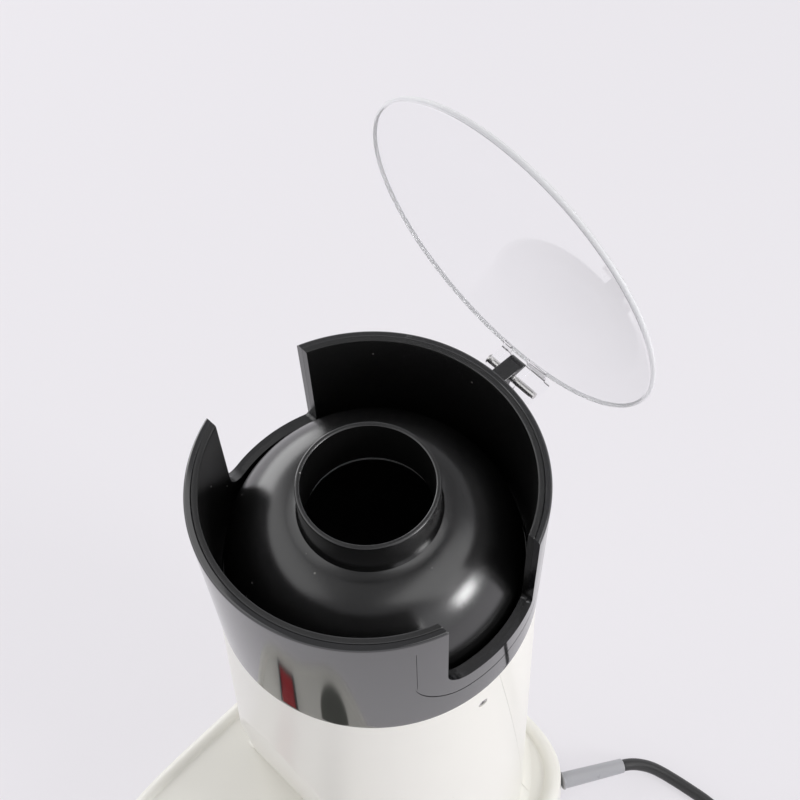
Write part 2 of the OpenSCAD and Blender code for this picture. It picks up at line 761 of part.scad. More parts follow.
module rocker() {
    z0 = rocker_pivot_z - 2.4;
    color("red") at_tower() switch_place() translate([0, 0, z0]) rotate([rocker_tilt, 0, 0]) {
        along_x(-rocker_w / 2, rocker_w / 2) intersection() {
            circle(r = rocker_r);
            polygon([[-20, -6], [20, -6], [20, 7.2], [rocker_r * 0.9, 6.6], [0, 3.6],
                [-rocker_r * 0.9, 6.6], [-20, 7.2]]);
        }
        along_x(-rocker_w / 2 - 0.5, rocker_w / 2 + 0.5) circle(r = pivot_r, $fn = 32);
    }
}

// ---- Cord ----
relief_at = [65.2, 95, 11];
relief_heading = 60;
relief_drop = 6;
relief_neck_r = 3.7;
relief_tip_r = cord_r + 0.6;
module at_relief() {
    translate(relief_at) rotate([0, 0, relief_heading]) rotate([0, 90 + relief_drop, 0]) children();
}
module strain_relief() {
    color([0.06, 0.06, 0.06]) at_relief() difference() {
        union() {
            translate([0, 0, -9]) cylinder(r = relief_neck_r, h = 10);
            translate([0, 0, -9]) cylinder(r = relief_neck_r + 1.6, h = 2);
            translate([0, 0, 0.5]) cylinder(r1 = relief_r, r2 = relief_tip_r, h = relief_l - 0.5);
        }
        translate([0, 0, relief_l - 4]) cylinder(r = cord_r + 0.2, h = 5);
    }
}
// Way points of the free cord, from inside the strain relief to the coil
cord_path = [[80.2, 121, 7.8], [81.9, 123.9, 7.5], [84.8, 128, 6.6], [88.4, 131.4, 5.5], [92.6, 134.1, 4.5],
    [97.7, 136, 3.7], [103, 137.3, 3.2], [113.7, 139.1, 3.1], [124, 140.3, 3.1], [136, 140, 3.1],
    [147, 136.8, 3.1], [157, 130.6, 3.2], [166, 122.6, 3.4], [174.6, 115.2, 3.7], [184, 108.9, 4],
    [193, 105.6, 4], [201, 104, 4]];
module cord_tube() {
    sides = 12;
    n = len(cord_path);
    function unit(v) = v / norm(v);
    function dir(i) = unit(cord_path[min(i + 1, n - 1)] - cord_path[max(i - 1, 0)]);
    function side(i) = unit(cross([0, 0, 1], dir(i)));
    function round_at(i, a) = cord_r * (cos(a) * side(i) + sin(a) * cross(dir(i), side(i)));
    pts = [for (i = [0:n - 1]) for (k = [0:sides - 1]) cord_path[i] + round_at(i, 360 * k / sides)];
    walls = [for (i = [0:n - 2]) for (k = [0:sides - 1])
        [i * sides + k, i * sides + (k + 1) % sides, (i + 1) * sides + (k + 1) % sides, (i + 1) * sides + k]];
    first = [for (k = [sides - 1:-1:0]) k];
    last = [for (k = [0:sides - 1]) (n - 1) * sides + k];
    color([0.06, 0.06, 0.06]) difference() {
        polyhedron(points = pts, faces = concat(walls, [first, last]), convexity = 4);
        translate(coil_at) coil_ring(0.02);
    }
}
coil_at = [200, 140, 0];
coil_mid_r = 33;
tie_t = 0.9;
lead_l = 22;
plug_w = 24;
plug_l = 26;
plug_h = 16;
plug_tail = 20;
blade_gap = 12.7;
// Ring of four turns, two side by side in each of two layers
module coil_ring(grow) {
    rotate_extrude($fn = 96) translate([coil_mid_r, tie_t + cord_r + 0.1]) {
        for (x = [-1, 1]) for (z = [0, 1]) translate([x * cord_r, z * 2 * cord_r])
            circle(r = cord_r + 0.1 + grow, $fn = 32);
        translate([0, cord_r]) square(2 * cord_r, center = true);
    }
}
lead_y = coil_mid_r + cord_r;
lead_z = tie_t + 3 * cord_r + 0.1;
lead_drop = atan((lead_z - plug_h / 2) / lead_l);
module cord_coil() {
    color([0.06, 0.06, 0.06]) translate(coil_at) {
        coil_ring(0);
        translate([0, -lead_y, lead_z]) rotate([0, 90 + lead_drop, 0]) cylinder(r = cord_r, h = lead_l - 0.3);
    }
}
module cord_tie() {
    half = 2 * cord_r + 0.15;
    tall = 4 * cord_r + 0.25;
    color("black") translate(coil_at) rotate([0, 0, 100]) rotate_extrude(angle = 14, $fn = 96)
        translate([coil_mid_r, 0]) difference() {
            translate([-half - tie_t, 0]) square([2 * (half + tie_t), tall + 2 * tie_t]);
            translate([-half, tie_t]) square([2 * half, tall]);
        }
}
plug_at = coil_at + [lead_l, -lead_y, plug_h / 2];
module plug_body() {
    color([0.06, 0.06, 0.06]) translate(plug_at) {
        rotate([0, 90, 0]) cylinder(r1 = cord_r + 0.4, r2 = cord_r + 1.4, h = plug_tail + 1);
        translate([plug_tail, 0, 0]) rotate([0, 90, 0]) rotate([0, 0, 90])
            linear_extrude(plug_l) frame_2d(plug_w, plug_h, 4);
    }
}
module plug_pins() {
    color("silver") translate(plug_at) for (s = [-1, 1])
        translate([plug_tail + plug_l, s * blade_gap / 2, 0]) box([0, -0.75, -3.2], [16, 0.75, 3.2]);
}

tray();
bottom_plate();
feet();
base_screws();
front_shell();
rear_shell();
shell_screws();
top_collar();
funnel();
lid();
hinge_pin();
chamber_gasket();
popping_chamber();
heater_duct();
mica_frame();
heater_coil();
thermal_cutout();
motor_bracket();
motor();
fan();
motor_shaft();
rectifier_board();
switch_frame();
rocker();
cup_pad();
strain_relief();
cord_tube();
cord_coil();
cord_tie();
plug_body();
plug_pins();
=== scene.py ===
# Hot-air popcorn maker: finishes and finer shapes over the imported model.
# Lengths in the code are millimetres; MM turns them into metres.
import math

import bmesh
import bpy
from mathutils import Matrix, Vector


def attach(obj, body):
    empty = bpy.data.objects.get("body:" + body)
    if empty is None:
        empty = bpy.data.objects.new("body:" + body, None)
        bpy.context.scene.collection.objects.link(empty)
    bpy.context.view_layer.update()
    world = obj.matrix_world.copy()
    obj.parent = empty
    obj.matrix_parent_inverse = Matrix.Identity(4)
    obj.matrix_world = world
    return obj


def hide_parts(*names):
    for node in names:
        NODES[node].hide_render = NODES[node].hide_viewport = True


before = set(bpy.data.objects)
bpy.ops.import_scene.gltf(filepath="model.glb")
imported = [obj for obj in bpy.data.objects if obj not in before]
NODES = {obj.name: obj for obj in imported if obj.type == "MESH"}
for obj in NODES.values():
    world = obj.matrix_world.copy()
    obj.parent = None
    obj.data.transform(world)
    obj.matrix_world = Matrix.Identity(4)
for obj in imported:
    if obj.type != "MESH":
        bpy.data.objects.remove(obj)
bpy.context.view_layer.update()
SCENE = bpy.context.scene
MM = 0.001

# ---- Sizes shared with the solids ----
TOWER_Y = 43.18
TRAY_Y = -4.82
RIM_Z = 300.0
COLLAR_Z = 232.0
SEAT_Z = 240.0
SILL_Z = 256.8
DECK_Z = 26.0
TRAY_LOW = 3.0
TRAY_HALF_W = 79.5
TRAY_HALF_L = 111.0
REAR_SQUARE = 4.8
FRONT_SQUARE = 3.8
LIP_R = 3.6
LIP_TOP = 28.4
DRAFT = 1.2
WALL = 2.5
DECK_INSET = DRAFT + 2 * LIP_R + 0.6
TOWER_TOP_R = 59.0
TOWER_FOOT_R = 66.9
FOOT_FORWARD = 5.7
FLARE_R = 5.0
FACET_Y = 47.0
FACET_TOP = 176.0
FACET_ROUND = 1.6
SEAM_Z = 245.0
SEAM_LEAN = math.radians(8.5)
SEAM_GAP = 0.05
COLLAR_R = 60.0
COLLAR_DRAFT = 0.6
RIM_ROUND = 0.9
LINER_OUT = 57.6
LINER_IN = 55.3
NOTCH_W = 41.6
NOTCH_CORNER = 8.0
NOTCH_REAR_CORNER = 1.5
GROOVE_OFF = 9.5
GROOVE_W = 0.7
GROOVE_DEPTH = 0.2
NECK_R = 22.4
NECK_OUT = 24.2
NECK_TOP = 297.0
NECK_BASE = 284.0
NECK_FOOT = 276.0
DOME_WALL = 2.4
HINGE_R = 64.8
HINGE_Z = 295.0
HINGE_TURN = math.radians(-3)
LUG_W, PIN_HOLE_R, KNUCKLE_HOLE_R = 6.4, 1.3, 1.25
LID_OPEN = math.radians(-81)
LID_R = 59.2
LID_WALL = 1.8
LID_RISE = 6.0
LID_PLANE = 300.4
SWITCH_X, SWITCH_Y = -29.0, TRAY_Y - TRAY_HALF_L + 28.0
SWITCH_W, SWITCH_L = 25.0, 30.0
ROCKER_R, ROCKER_HALF_W = SWITCH_L / 2 - 3.2, (SWITCH_W - 5.6) / 2
ROCKER_TILT = math.radians(7)
PAD_X, PAD_Y, PAD_R = 37.0, TRAY_Y - TRAY_HALF_L + 33.0, 18.5
PAD_DEEP = 1.6
TAPER = (TOWER_FOOT_R - TOWER_TOP_R) / (COLLAR_Z - DECK_Z)
LEAN = math.asin(FOOT_FORWARD / (COLLAR_Z - DECK_Z))


# ---- Camera ----
camera_data = bpy.data.cameras.new("camera")
camera_data.lens = 58.83
camera_data.clip_end = 20
camera = bpy.data.objects.new("camera", camera_data)
SCENE.collection.objects.link(camera)
camera.location = (0.16628, -0.09389, 0.66692)
camera.rotation_euler = [math.radians(a) for a in (33.696, 1.762, 44.661)]
SCENE.camera = camera


# ---- Working by hand, in code ----
def deselect():
    if bpy.context.object and bpy.context.object.mode != "OBJECT":
        bpy.ops.object.mode_set(mode="OBJECT")
    bpy.ops.object.select_all(action="DESELECT")


def take(obj):
    """Leaves only obj selected and active."""
    deselect()
    obj.select_set(True)
    bpy.context.view_layer.objects.active = obj
    return obj


def edit(obj, pick="VERT"):
    take(obj)
    bpy.ops.object.mode_set(mode="EDIT")
    bpy.ops.mesh.select_mode(type=pick)
    bpy.ops.mesh.select_all(action="DESELECT")


def added(name, edit_mode=False):
    """Names the primitive that was just added."""
    obj = bpy.context.object
    obj.name = name
    obj.data.name = name
    if edit_mode:
        bpy.ops.object.mode_set(mode="EDIT")
        bpy.ops.mesh.select_mode(type="VERT")
        bpy.ops.mesh.select_all(action="SELECT")
    return obj


def select_where(obj, test, kind="faces"):
    """Selects the faces, edges or verts that pass a test, in edit mode."""
    mesh = bmesh.from_edit_mesh(obj.data)
    for item in getattr(mesh, kind):
        item.select_set(bool(test(item)))
    mesh.select_flush_mode()
    bmesh.update_edit_mesh(obj.data)


def place(obj, matrix):
    """Sets obj down by a matrix and leaves its object at the origin."""
    take(obj)
    obj.matrix_world = matrix
    bpy.ops.object.transform_apply(location=True, rotation=True, scale=True)
    return obj


def apply_modifier(obj, kind, **settings):
    take(obj)
    modifier = obj.modifiers.new(kind.lower(), kind)
    for key, value in settings.items():
        setattr(modifier, key, value)
    bpy.ops.object.modifier_apply(modifier=modifier.name)
    return obj


def combine(obj, tool, how="DIFFERENCE"):
    """Cuts obj with tool, joins it on or keeps what both share, and removes tool."""
    apply_modifier(obj, "BOOLEAN", operation=how, object=tool, solver="EXACT")
    bpy.data.objects.remove(tool)
    return obj


def soften(obj, width, segments=2, angle=35):
    """Rounds the sharp edges of obj."""
    return apply_modifier(obj, "BEVEL", width=width * MM, segments=segments, limit_method="ANGLE",
                          angle_limit=math.radians(angle), use_clamp_overlap=True,
                          miter_outer="MITER_ARC", harden_normals=False)


def tidy_normals(obj):
    edit(obj)
    bpy.ops.mesh.select_all(action="SELECT")
    bpy.ops.mesh.remove_doubles(threshold=2e-6)
    bpy.ops.mesh.normals_make_consistent(inside=False)
    bpy.ops.object.mode_set(mode="OBJECT")
    return obj


def smooth(obj, angle=30):
    """Smooth shading that large faces lead, so a fine bevel doesn't bend their reflections."""
    take(obj)
    bpy.ops.object.shade_smooth_by_angle(angle=math.radians(angle))
    return apply_modifier(obj, "WEIGHTED_NORMAL", mode="FACE_AREA", weight=60, keep_sharp=True)


def draw(name, points, closed=True):
    """A chain of edges through points, pulled out of one vertex corner by corner."""
    deselect()
    bpy.ops.mesh.primitive_plane_add(size=MM)
    obj = added(name, edit_mode=True)
    bpy.ops.mesh.merge(type="CENTER")
    bpy.ops.transform.translate(value=Vector(points[0]) * MM)
    for near, far in zip(points, points[1:]):
        step = (Vector(far) - Vector(near)) * MM
        bpy.ops.mesh.extrude_vertices_move(TRANSFORM_OT_translate={"value": step})
    if closed:
        ends = [Vector(points[0]) * MM, Vector(points[-1]) * MM]
        select_where(obj, lambda v: min((v.co - e).length for e in ends) < 1e-7, "verts")
        bpy.ops.mesh.edge_face_add()
    return obj


def lathe(name, profile, steps=192, closed=True, axis_at=(0, TOWER_Y)):
    """Turns a profile of (radius, height) points round an upright axis."""
    cx, cy = axis_at
    obj = draw(name, [(cx + r, cy, z) for r, z in profile], closed)
    bpy.ops.mesh.select_all(action="SELECT")
    bpy.ops.mesh.spin(steps=steps, angle=math.tau, center=(cx * MM, cy * MM, 0), axis=(0, 0, 1))
    bpy.ops.object.mode_set(mode="OBJECT")
    return tidy_normals(obj)


def prism(name, outline, reach):
    """A solid from a closed outline of points, drawn out by the vector reach."""
    obj = draw(name, outline)
    bpy.ops.mesh.select_all(action="SELECT")
    bpy.ops.mesh.edge_face_add()
    bpy.ops.mesh.extrude_region_move(TRANSFORM_OT_translate={"value": Vector(reach) * MM})
    bpy.ops.object.mode_set(mode="OBJECT")
    return tidy_normals(obj)


def block(name, low, high):
    """A plain block between two corners, for cutting."""
    low, high = Vector(low), Vector(high)
    deselect()
    bpy.ops.mesh.primitive_cube_add(size=1, location=(low + high) / 2 * MM)
    obj = added(name)
    return place(obj, obj.matrix_world @ Matrix.Diagonal((*((high - low) * MM), 1)))


def rod(name, radius, length, matrix=None, steps=48, top=None):
    """A round bar along +Z from the origin, set down by a matrix, for cutting; top tapers it."""
    deselect()
    bpy.ops.mesh.primitive_cone_add(vertices=steps, radius1=radius * MM, depth=length * MM,
                                    radius2=(radius if top is None else top) * MM,
                                    location=(0, 0, length / 2 * MM))
    obj = added(name)
    return place(obj, (matrix or Matrix()) @ obj.matrix_world)


def arc(centre, radius, start, end, count):
    """Points of an arc in the plane, angles in degrees."""
    cx, cz = centre
    turns = [math.radians(start + (end - start) * i / count) for i in range(count + 1)]
    return [(cx + radius * math.cos(a), cz + radius * math.sin(a)) for a in turns]


def shift(x, y, z):
    return Matrix.Translation(Vector((x, y, z)) * MM)


def turn(angle, axis):
    return Matrix.Rotation(angle, 4, axis)


ALONG_X = turn(math.radians(90), "Y")


def smooth_step(t):
    t = min(max(t, 0), 1)
    return t * t * (3 - 2 * t)


# ---- Finishes: shared effects ----
def new_group(name, inputs, outputs):
    """An empty shader node group with named sockets: (name, kind, default)."""
    group = bpy.data.node_groups.new(name, "ShaderNodeTree")
    for label, kind, value in inputs:
        socket = group.interface.new_socket(name=label, in_out="INPUT", socket_type=kind)
        socket.default_value = value
    for label, kind in outputs:
        group.interface.new_socket(name=label, in_out="OUTPUT", socket_type=kind)
    return group, group.nodes.new("NodeGroupInput"), group.nodes.new("NodeGroupOutput")


def node(tree, kind, **settings):
    made = tree.nodes.new(kind)
    for key, value in settings.items():
        setattr(made, key, value)
    return made


def math_node(tree, how, *values):
    """A Math node; each value is a number or a socket."""
    made = node(tree, "ShaderNodeMath", operation=how)
    for socket, value in zip(made.inputs, values):
        if isinstance(value, (int, float)):
            socket.default_value = value
        else:
            tree.links.new(value, socket)
    return made.outputs[0]


def noise_node(tree, where, scale, detail=2.0, roughness=0.5):
    made = node(tree, "ShaderNodeTexNoise")
    made.inputs["Detail"].default_value = detail
    made.inputs["Roughness"].default_value = roughness
    tree.links.new(where, made.inputs["Vector"])
    if isinstance(scale, (int, float)):
        made.inputs["Scale"].default_value = scale
    else:
        tree.links.new(scale, made.inputs["Scale"])
    return made.outputs["Fac"]


def mix_colour(tree, amount, first, second):
    made = node(tree, "ShaderNodeMix", data_type="RGBA")
    # Inputs 6 and 7 and output 2 are the node's colour sockets.
    pairs = ((made.inputs[0], amount), (made.inputs[6], first), (made.inputs[7], second))
    for socket, value in pairs:
        if isinstance(value, (int, float, tuple)):
            socket.default_value = value
        else:
            tree.links.new(value, socket)
    return made.outputs[2]


def make_surface_group():
    """Mottled colour, uneven gloss and a fine moulded grain."""
    group, ins, outs = new_group(
        "moulded_surface",
        [("Color", "NodeSocketColor", (0.5, 0.5, 0.5, 1)), ("Tone", "NodeSocketFloat", 0.05),
         ("Gloss", "NodeSocketFloat", 0.3), ("Gloss Spread", "NodeSocketFloat", 0.05),
         ("Grain Scale", "NodeSocketFloat", 1500.0)],
        [("Color", "NodeSocketColor"), ("Roughness", "NodeSocketFloat"), ("Height", "NodeSocketFloat")])
    where = node(group, "ShaderNodeTexCoord").outputs["Object"]
    broad = noise_node(group, where, 14.0, 3.0)
    patches = noise_node(group, where, 60.0, 4.0, 0.6)
    grain = noise_node(group, where, ins.outputs["Grain Scale"], 2.0, 0.6)
    centred = math_node(group, "SUBTRACT", math_node(group, "ADD", broad, patches), 1.0)
    level = math_node(group, "MULTIPLY_ADD", centred, ins.outputs["Tone"], 1.0)
    scaled = node(group, "ShaderNodeVectorMath", operation="SCALE")
    group.links.new(ins.outputs["Color"], scaled.inputs[0])
    group.links.new(level, scaled.inputs["Scale"])
    group.links.new(scaled.outputs[0], outs.inputs["Color"])
    rough = math_node(group, "MULTIPLY_ADD", math_node(group, "SUBTRACT", patches, 0.5),
                      ins.outputs["Gloss Spread"], ins.outputs["Gloss"])
    group.links.new(rough, outs.inputs["Roughness"])
    group.links.new(grain, outs.inputs["Height"])
    return group


def make_dust_group():
    """Sparse pale specks and a thin film where dust settles."""
    group, ins, outs = new_group(
        "settled_dust",
        [("Specks", "NodeSocketFloat", 0.02), ("Film", "NodeSocketFloat", 0.02)],
        [("Mask", "NodeSocketFloat")])
    coordinates = node(group, "ShaderNodeTexCoord")
    cells = node(group, "ShaderNodeTexVoronoi", feature="F1")
    cells.inputs["Scale"].default_value = 420.0
    group.links.new(coordinates.outputs["Object"], cells.inputs["Vector"])
    near = math_node(group, "LESS_THAN", cells.outputs["Distance"], 0.16)
    chosen = node(group, "ShaderNodeSeparateColor")
    group.links.new(cells.outputs["Color"], chosen.inputs[0])
    rare = math_node(group, "LESS_THAN", chosen.outputs[0], ins.outputs["Specks"])
    specks = math_node(group, "MULTIPLY", near, rare)
    haze = noise_node(group, coordinates.outputs["Object"], 35.0, 5.0, 0.65)
    film = math_node(group, "MULTIPLY", haze, ins.outputs["Film"])
    group.links.new(math_node(group, "MAXIMUM", math_node(group, "MULTIPLY", specks, 0.3), film),
                    outs.inputs["Mask"])
    return group


def make_brush_group():
    """Fine drawn lines along one direction, for sheet and turned metal."""
    group, ins, outs = new_group(
        "drawn_metal",
        [("Color", "NodeSocketColor", (0.5, 0.5, 0.5, 1)), ("Stretch", "NodeSocketVector", (1, 1, 20)),
         ("Gloss", "NodeSocketFloat", 0.3)],
        [("Color", "NodeSocketColor"), ("Roughness", "NodeSocketFloat"), ("Height", "NodeSocketFloat")])
    where = node(group, "ShaderNodeTexCoord").outputs["Object"]
    drawn = node(group, "ShaderNodeVectorMath", operation="MULTIPLY")
    group.links.new(where, drawn.inputs[0])
    group.links.new(ins.outputs["Stretch"], drawn.inputs[1])
    lines = noise_node(group, drawn.outputs[0], 90.0, 3.0, 0.6)
    stains = noise_node(group, where, 45.0, 4.0, 0.6)
    level = math_node(group, "MULTIPLY_ADD", math_node(group, "SUBTRACT", stains, 0.5), 0.35, 1.0)
    scaled = node(group, "ShaderNodeVectorMath", operation="SCALE")
    group.links.new(ins.outputs["Color"], scaled.inputs[0])
    group.links.new(level, scaled.inputs["Scale"])
    group.links.new(scaled.outputs[0], outs.inputs["Color"])
    rough = math_node(group, "MULTIPLY_ADD", math_node(group, "SUBTRACT", lines, 0.5), 0.25,
                      ins.outputs["Gloss"])
    group.links.new(rough, outs.inputs["Roughness"])
    group.links.new(lines, outs.inputs["Height"])
    return group


SURFACE = make_surface_group()
DUST = make_dust_group()
DRAWN = make_brush_group()


def use_group(tree, group, **values):
    made = node(tree, "ShaderNodeGroup", node_tree=group)
    for key, value in values.items():
        made.inputs[key.replace("_", " ")].default_value = value
    return made


def bare_material(name, **settings):
    """A material with its Principled shader set; returns (material, tree, shader)."""
    material = bpy.data.materials.new(name)
    material.use_nodes = True
    tree = material.node_tree
    shader = tree.nodes["Principled BSDF"]
    for key, value in settings.items():
        shader.inputs[key.replace("_", " ")].default_value = value
    return material, tree, shader


def add_bump(tree, shader, height, strength, depth):
    """Raises the surface by a height between 0 and 1; depth is in millimetres."""
    bump = node(tree, "ShaderNodeBump")
    bump.inputs["Strength"].default_value = strength
    bump.inputs["Distance"].default_value = depth * MM
    tree.links.new(height, bump.inputs["Height"])
    tree.links.new(bump.outputs["Normal"], shader.inputs["Normal"])


def moulded(name, colour, gloss, tone=0.04, spread=0.05, grain=1500.0, depth=0.01, strength=0.4,
            dust=None, **settings):
    """Moulded plastic or rubber."""
    material, tree, shader = bare_material(name, **settings)
    surface = use_group(tree, SURFACE, Color=(*colour, 1), Tone=tone, Gloss=gloss,
                        Gloss_Spread=spread, Grain_Scale=grain)
    colour_out, rough_out = surface.outputs["Color"], surface.outputs["Roughness"]
    if dust:
        film = use_group(tree, DUST, Specks=dust[0], Film=dust[1])
        colour_out = mix_colour(tree, film.outputs["Mask"], colour_out, (0.55, 0.53, 0.5, 1))
        rough_out = math_node(tree, "MULTIPLY_ADD", film.outputs["Mask"], 0.5, rough_out)
    tree.links.new(colour_out, shader.inputs["Base Color"])
    tree.links.new(rough_out, shader.inputs["Roughness"])
    add_bump(tree, shader, surface.outputs["Height"], strength, depth)
    return material


def metal(name, colour, gloss, stretch=(1, 1, 20), depth=0.01):
    """Sheet or turned metal with fine lines."""
    material, tree, shader = bare_material(name, Metallic=1.0)
    lines = use_group(tree, DRAWN, Color=(*colour, 1), Stretch=stretch, Gloss=gloss)
    tree.links.new(lines.outputs["Color"], shader.inputs["Base Color"])
    tree.links.new(lines.outputs["Roughness"], shader.inputs["Roughness"])
    add_bump(tree, shader, lines.outputs["Height"], 0.3, depth)
    return material


CREAM = (0.84, 0.825, 0.765)
FINISH = {
    "ivory_plastic": moulded("ivory_plastic", CREAM, 0.3, tone=0.02, spread=0.06, grain=900.0,
                             depth=0.012, strength=0.25, dust=(0.004, 0.01)),
    "black_gloss": moulded("black_gloss", (0.008, 0.008, 0.009), 0.07, tone=0.2, spread=0.03,
                           grain=300.0, depth=0.002, strength=0.1, dust=(0.006, 0.004), IOR=1.9),
    "black_satin": moulded("black_satin", (0.005, 0.005, 0.005), 0.24, tone=0.2, spread=0.08,
                           grain=2600.0, depth=0.03, strength=0.5, dust=(0.006, 0.004), IOR=1.8),
    "black_rubber": moulded("black_rubber", (0.022, 0.022, 0.023), 0.7, tone=0.3, grain=1800.0,
                            depth=0.04),
    "grey_rubber": moulded("grey_rubber", (0.3, 0.3, 0.3), 0.65, tone=0.15, depth=0.03),
    # Boot finish: a mid grey that paints the pale sheen seen along the black strain relief; painted
    # reflection, the boot itself is black.
    "boot_painted_sheen_grey": moulded("boot_painted_sheen_grey", (0.40, 0.40, 0.42), 0.28, tone=0.08, grain=900.0,
                         depth=0.01, dust=(0.01, 0.02)),
    "olive_rubber": moulded("olive_rubber", (0.11, 0.115, 0.095), 0.55, tone=0.2, grain=1600.0,
                            depth=0.03, dust=(0.01, 0.03)),
    "red_plastic": moulded("red_plastic", (0.52, 0.012, 0.02), 0.2, tone=0.08, grain=700.0,
                           depth=0.006, dust=(0.006, 0.01), Coat_Weight=0.4),
    "cord_black": moulded("cord_black", (0.022, 0.022, 0.023), 0.34, tone=0.25, spread=0.1,
                          grain=1200.0, depth=0.02, dust=(0.02, 0.03)),
    "mica": moulded("mica", (0.5, 0.38, 0.2), 0.45, tone=0.3, grain=500.0, depth=0.05),
    "board": moulded("board", (0.04, 0.22, 0.1), 0.35, tone=0.2, grain=800.0, depth=0.03),
    "motor_steel": moulded("motor_steel", (0.3, 0.31, 0.33), 0.38, tone=0.1, Metallic=0.8),
    "screw_steel": metal("screw_steel", (0.62, 0.61, 0.6), 0.25, (8, 8, 1)),
    "chamber_aluminium": metal("chamber_aluminium", (0.1, 0.1, 0.1), 0.42, (1, 1, 12)),
    "duct_aluminium": metal("duct_aluminium", (0.7, 0.7, 0.7), 0.35),
    "heater_wire": metal("heater_wire", (0.36, 0.3, 0.25), 0.5),
    "cutout_brass": metal("cutout_brass", (0.68, 0.5, 0.2), 0.35),
    "plug_brass": metal("plug_brass", (0.72, 0.66, 0.5), 0.25, (20, 1, 1)),
}


def make_clear():
    """Clear moulded plastic with faint haze and rubbing marks."""
    material, tree, shader = bare_material("clear_plastic", Transmission_Weight=1.0, IOR=1.12,
                                           Metallic=0.0)
    surface = use_group(tree, SURFACE, Color=(0.985, 0.985, 0.99, 1), Tone=0.006, Gloss=0.03,
                        Gloss_Spread=0.03, Grain_Scale=120.0)
    tree.links.new(surface.outputs["Color"], shader.inputs["Base Color"])
    tree.links.new(surface.outputs["Roughness"], shader.inputs["Roughness"])
    add_bump(tree, shader, surface.outputs["Height"], 0.06, 0.02)
    return material


FINISH["clear_plastic"] = make_clear()
# Lid edge: a pale, half-clear grey that is painted light, standing in for the light the clear edge carries;
# the real edge is the same clear plastic as the window.
FINISH["lid_edge_painted_light"] = moulded("lid_edge_painted_light", (0.86, 0.86, 0.87), 0.3, tone=0.05, grain=260.0,
                               strength=0.1, Transmission_Weight=0.2, IOR=1.3)


def finish_piece(obj, slot, body="popper", stands_for=(), finish=None):
    """Gives a finished piece its material, picked by its finish or else its slot name, and its body, and
    hides the solids it stands for.
    """
    obj.data.materials.clear()
    obj.data.materials.append(FINISH[finish or slot])
    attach(obj, body)
    if stands_for:
        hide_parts(*stands_for)
    return obj


# ---- Cord: strain relief, cord, tie and plug ----
RELIEF_AT = (65.2, 95.0, 11.0)
RELIEF_AIM = turn(math.radians(60), "Z") @ turn(math.radians(96), "Y")
RELIEF_L, CORD_R = 33.4, 3.0
COIL_AT = (200.0, 140.0, 0.0)
STRAND_MID, STRAND_Z, STRAND_OFF = 33.0, 7.05, 4.243
SWING_FROM, RISE_FROM, SWING_OVER = 300, 270, 40
TIE_W, TIE_TURN = 8.0, math.radians(107)
PLUG_AT = (222.0, 104.0, 8.0)
relief_dir = RELIEF_AIM @ Vector((0, 0, 1))
ROUTE = [tuple(Vector(RELIEF_AT) + relief_dir * step) for step in (2, 12, 22)]
ROUTE += [(80.2, 121, 7.8), (81.9, 123.9, 7.5), (84.8, 128, 6.6), (88.4, 131.4, 5.5),
          (92.6, 134.1, 4.5), (97.7, 136, 3.7), (103, 137.3, 3.2), (113.7, 139.1, 3.1),
          (124, 140.3, 3.1), (136, 140, 3.1), (147, 136.8, 3.1), (157, 130.6, 3.2),
          (166, 122.6, 3.4), (174.6, 115.2, 3.7), (184, 108.9, 4), (193, 105.6, 4)]


def strand(degrees):
    """Centre of the wound cord at an angle counted over all four turns from the front.

    The turns lie two by two, each on its own seat, and change seats just before they come
    round to the front again. The last one is on top and rises towards the plug.
    """
    lap, along = divmod(degrees, 360)
    swing = smooth_step((along - SWING_FROM) / SWING_OVER)
    seat = math.radians(-45 - 90 * (lap + swing))
    if lap < 3:
        out = STRAND_MID + STRAND_OFF * math.cos(seat)
        up = max(STRAND_Z + STRAND_OFF * math.sin(seat), CORD_R + 0.2)
    else:
        out = STRAND_MID + CORD_R
        up = STRAND_Z + CORD_R + 2 * CORD_R * smooth_step((along - RISE_FROM) / SWING_OVER)
    angle = math.radians(degrees - 90)
    return (COIL_AT[0] + out * math.cos(angle), COIL_AT[1] + out * math.sin(angle), up)


WOUND = [strand(degrees) for degrees in range(0, 1411, 15)]
LEAD = [(197, 104.2, 16), (204, 104, 15), (212, 104, 11), (219, 104, 8.6), (225, 104, 8)]


def make_cord():
    """The free cord from inside the strain relief to the plug, one smooth open curve."""
    deselect()
    bpy.ops.curve.primitive_bezier_curve_add()
    cord = bpy.context.object
    cord.name = cord.data.name = "mains_cord"
    cord.data.splines.clear()
    route = ROUTE + WOUND + LEAD
    spline = cord.data.splines.new("BEZIER")
    spline.bezier_points.add(len(route) - 1)
    for knot, point in zip(spline.bezier_points, route):
        knot.co = Vector(point) * MM
        knot.handle_left_type = knot.handle_right_type = "AUTO"
    spline.resolution_u = 6
    cord.data.dimensions = "3D"
    cord.data.bevel_depth = CORD_R * MM
    cord.data.bevel_resolution = 5
    cord.data.use_fill_caps = True
    return cord


def make_strain_relief():
    """Smooth tapered boot with a collar at the tray and a rounded tip."""
    edge, root_r, root_z, taper = 0.6, 4.12, 3, 0.5
    profile = [(0, 0.3), (3.9, 0.3)] + arc((3.9, 0.3 + edge), edge, -60, 75, 5)
    profile += [(root_r - taper * (z - root_z) / (RELIEF_L - root_z), z)
                for z in range(root_z, int(RELIEF_L) - 1, 3)]
    profile += arc((3.0, RELIEF_L - edge), edge, 0, 85, 5) + [(0, RELIEF_L - 1)]
    boot = lathe("strain_relief_boot", profile, 64, closed=False, axis_at=(0, 0))
    return place(boot, shift(*RELIEF_AT) @ RELIEF_AIM)


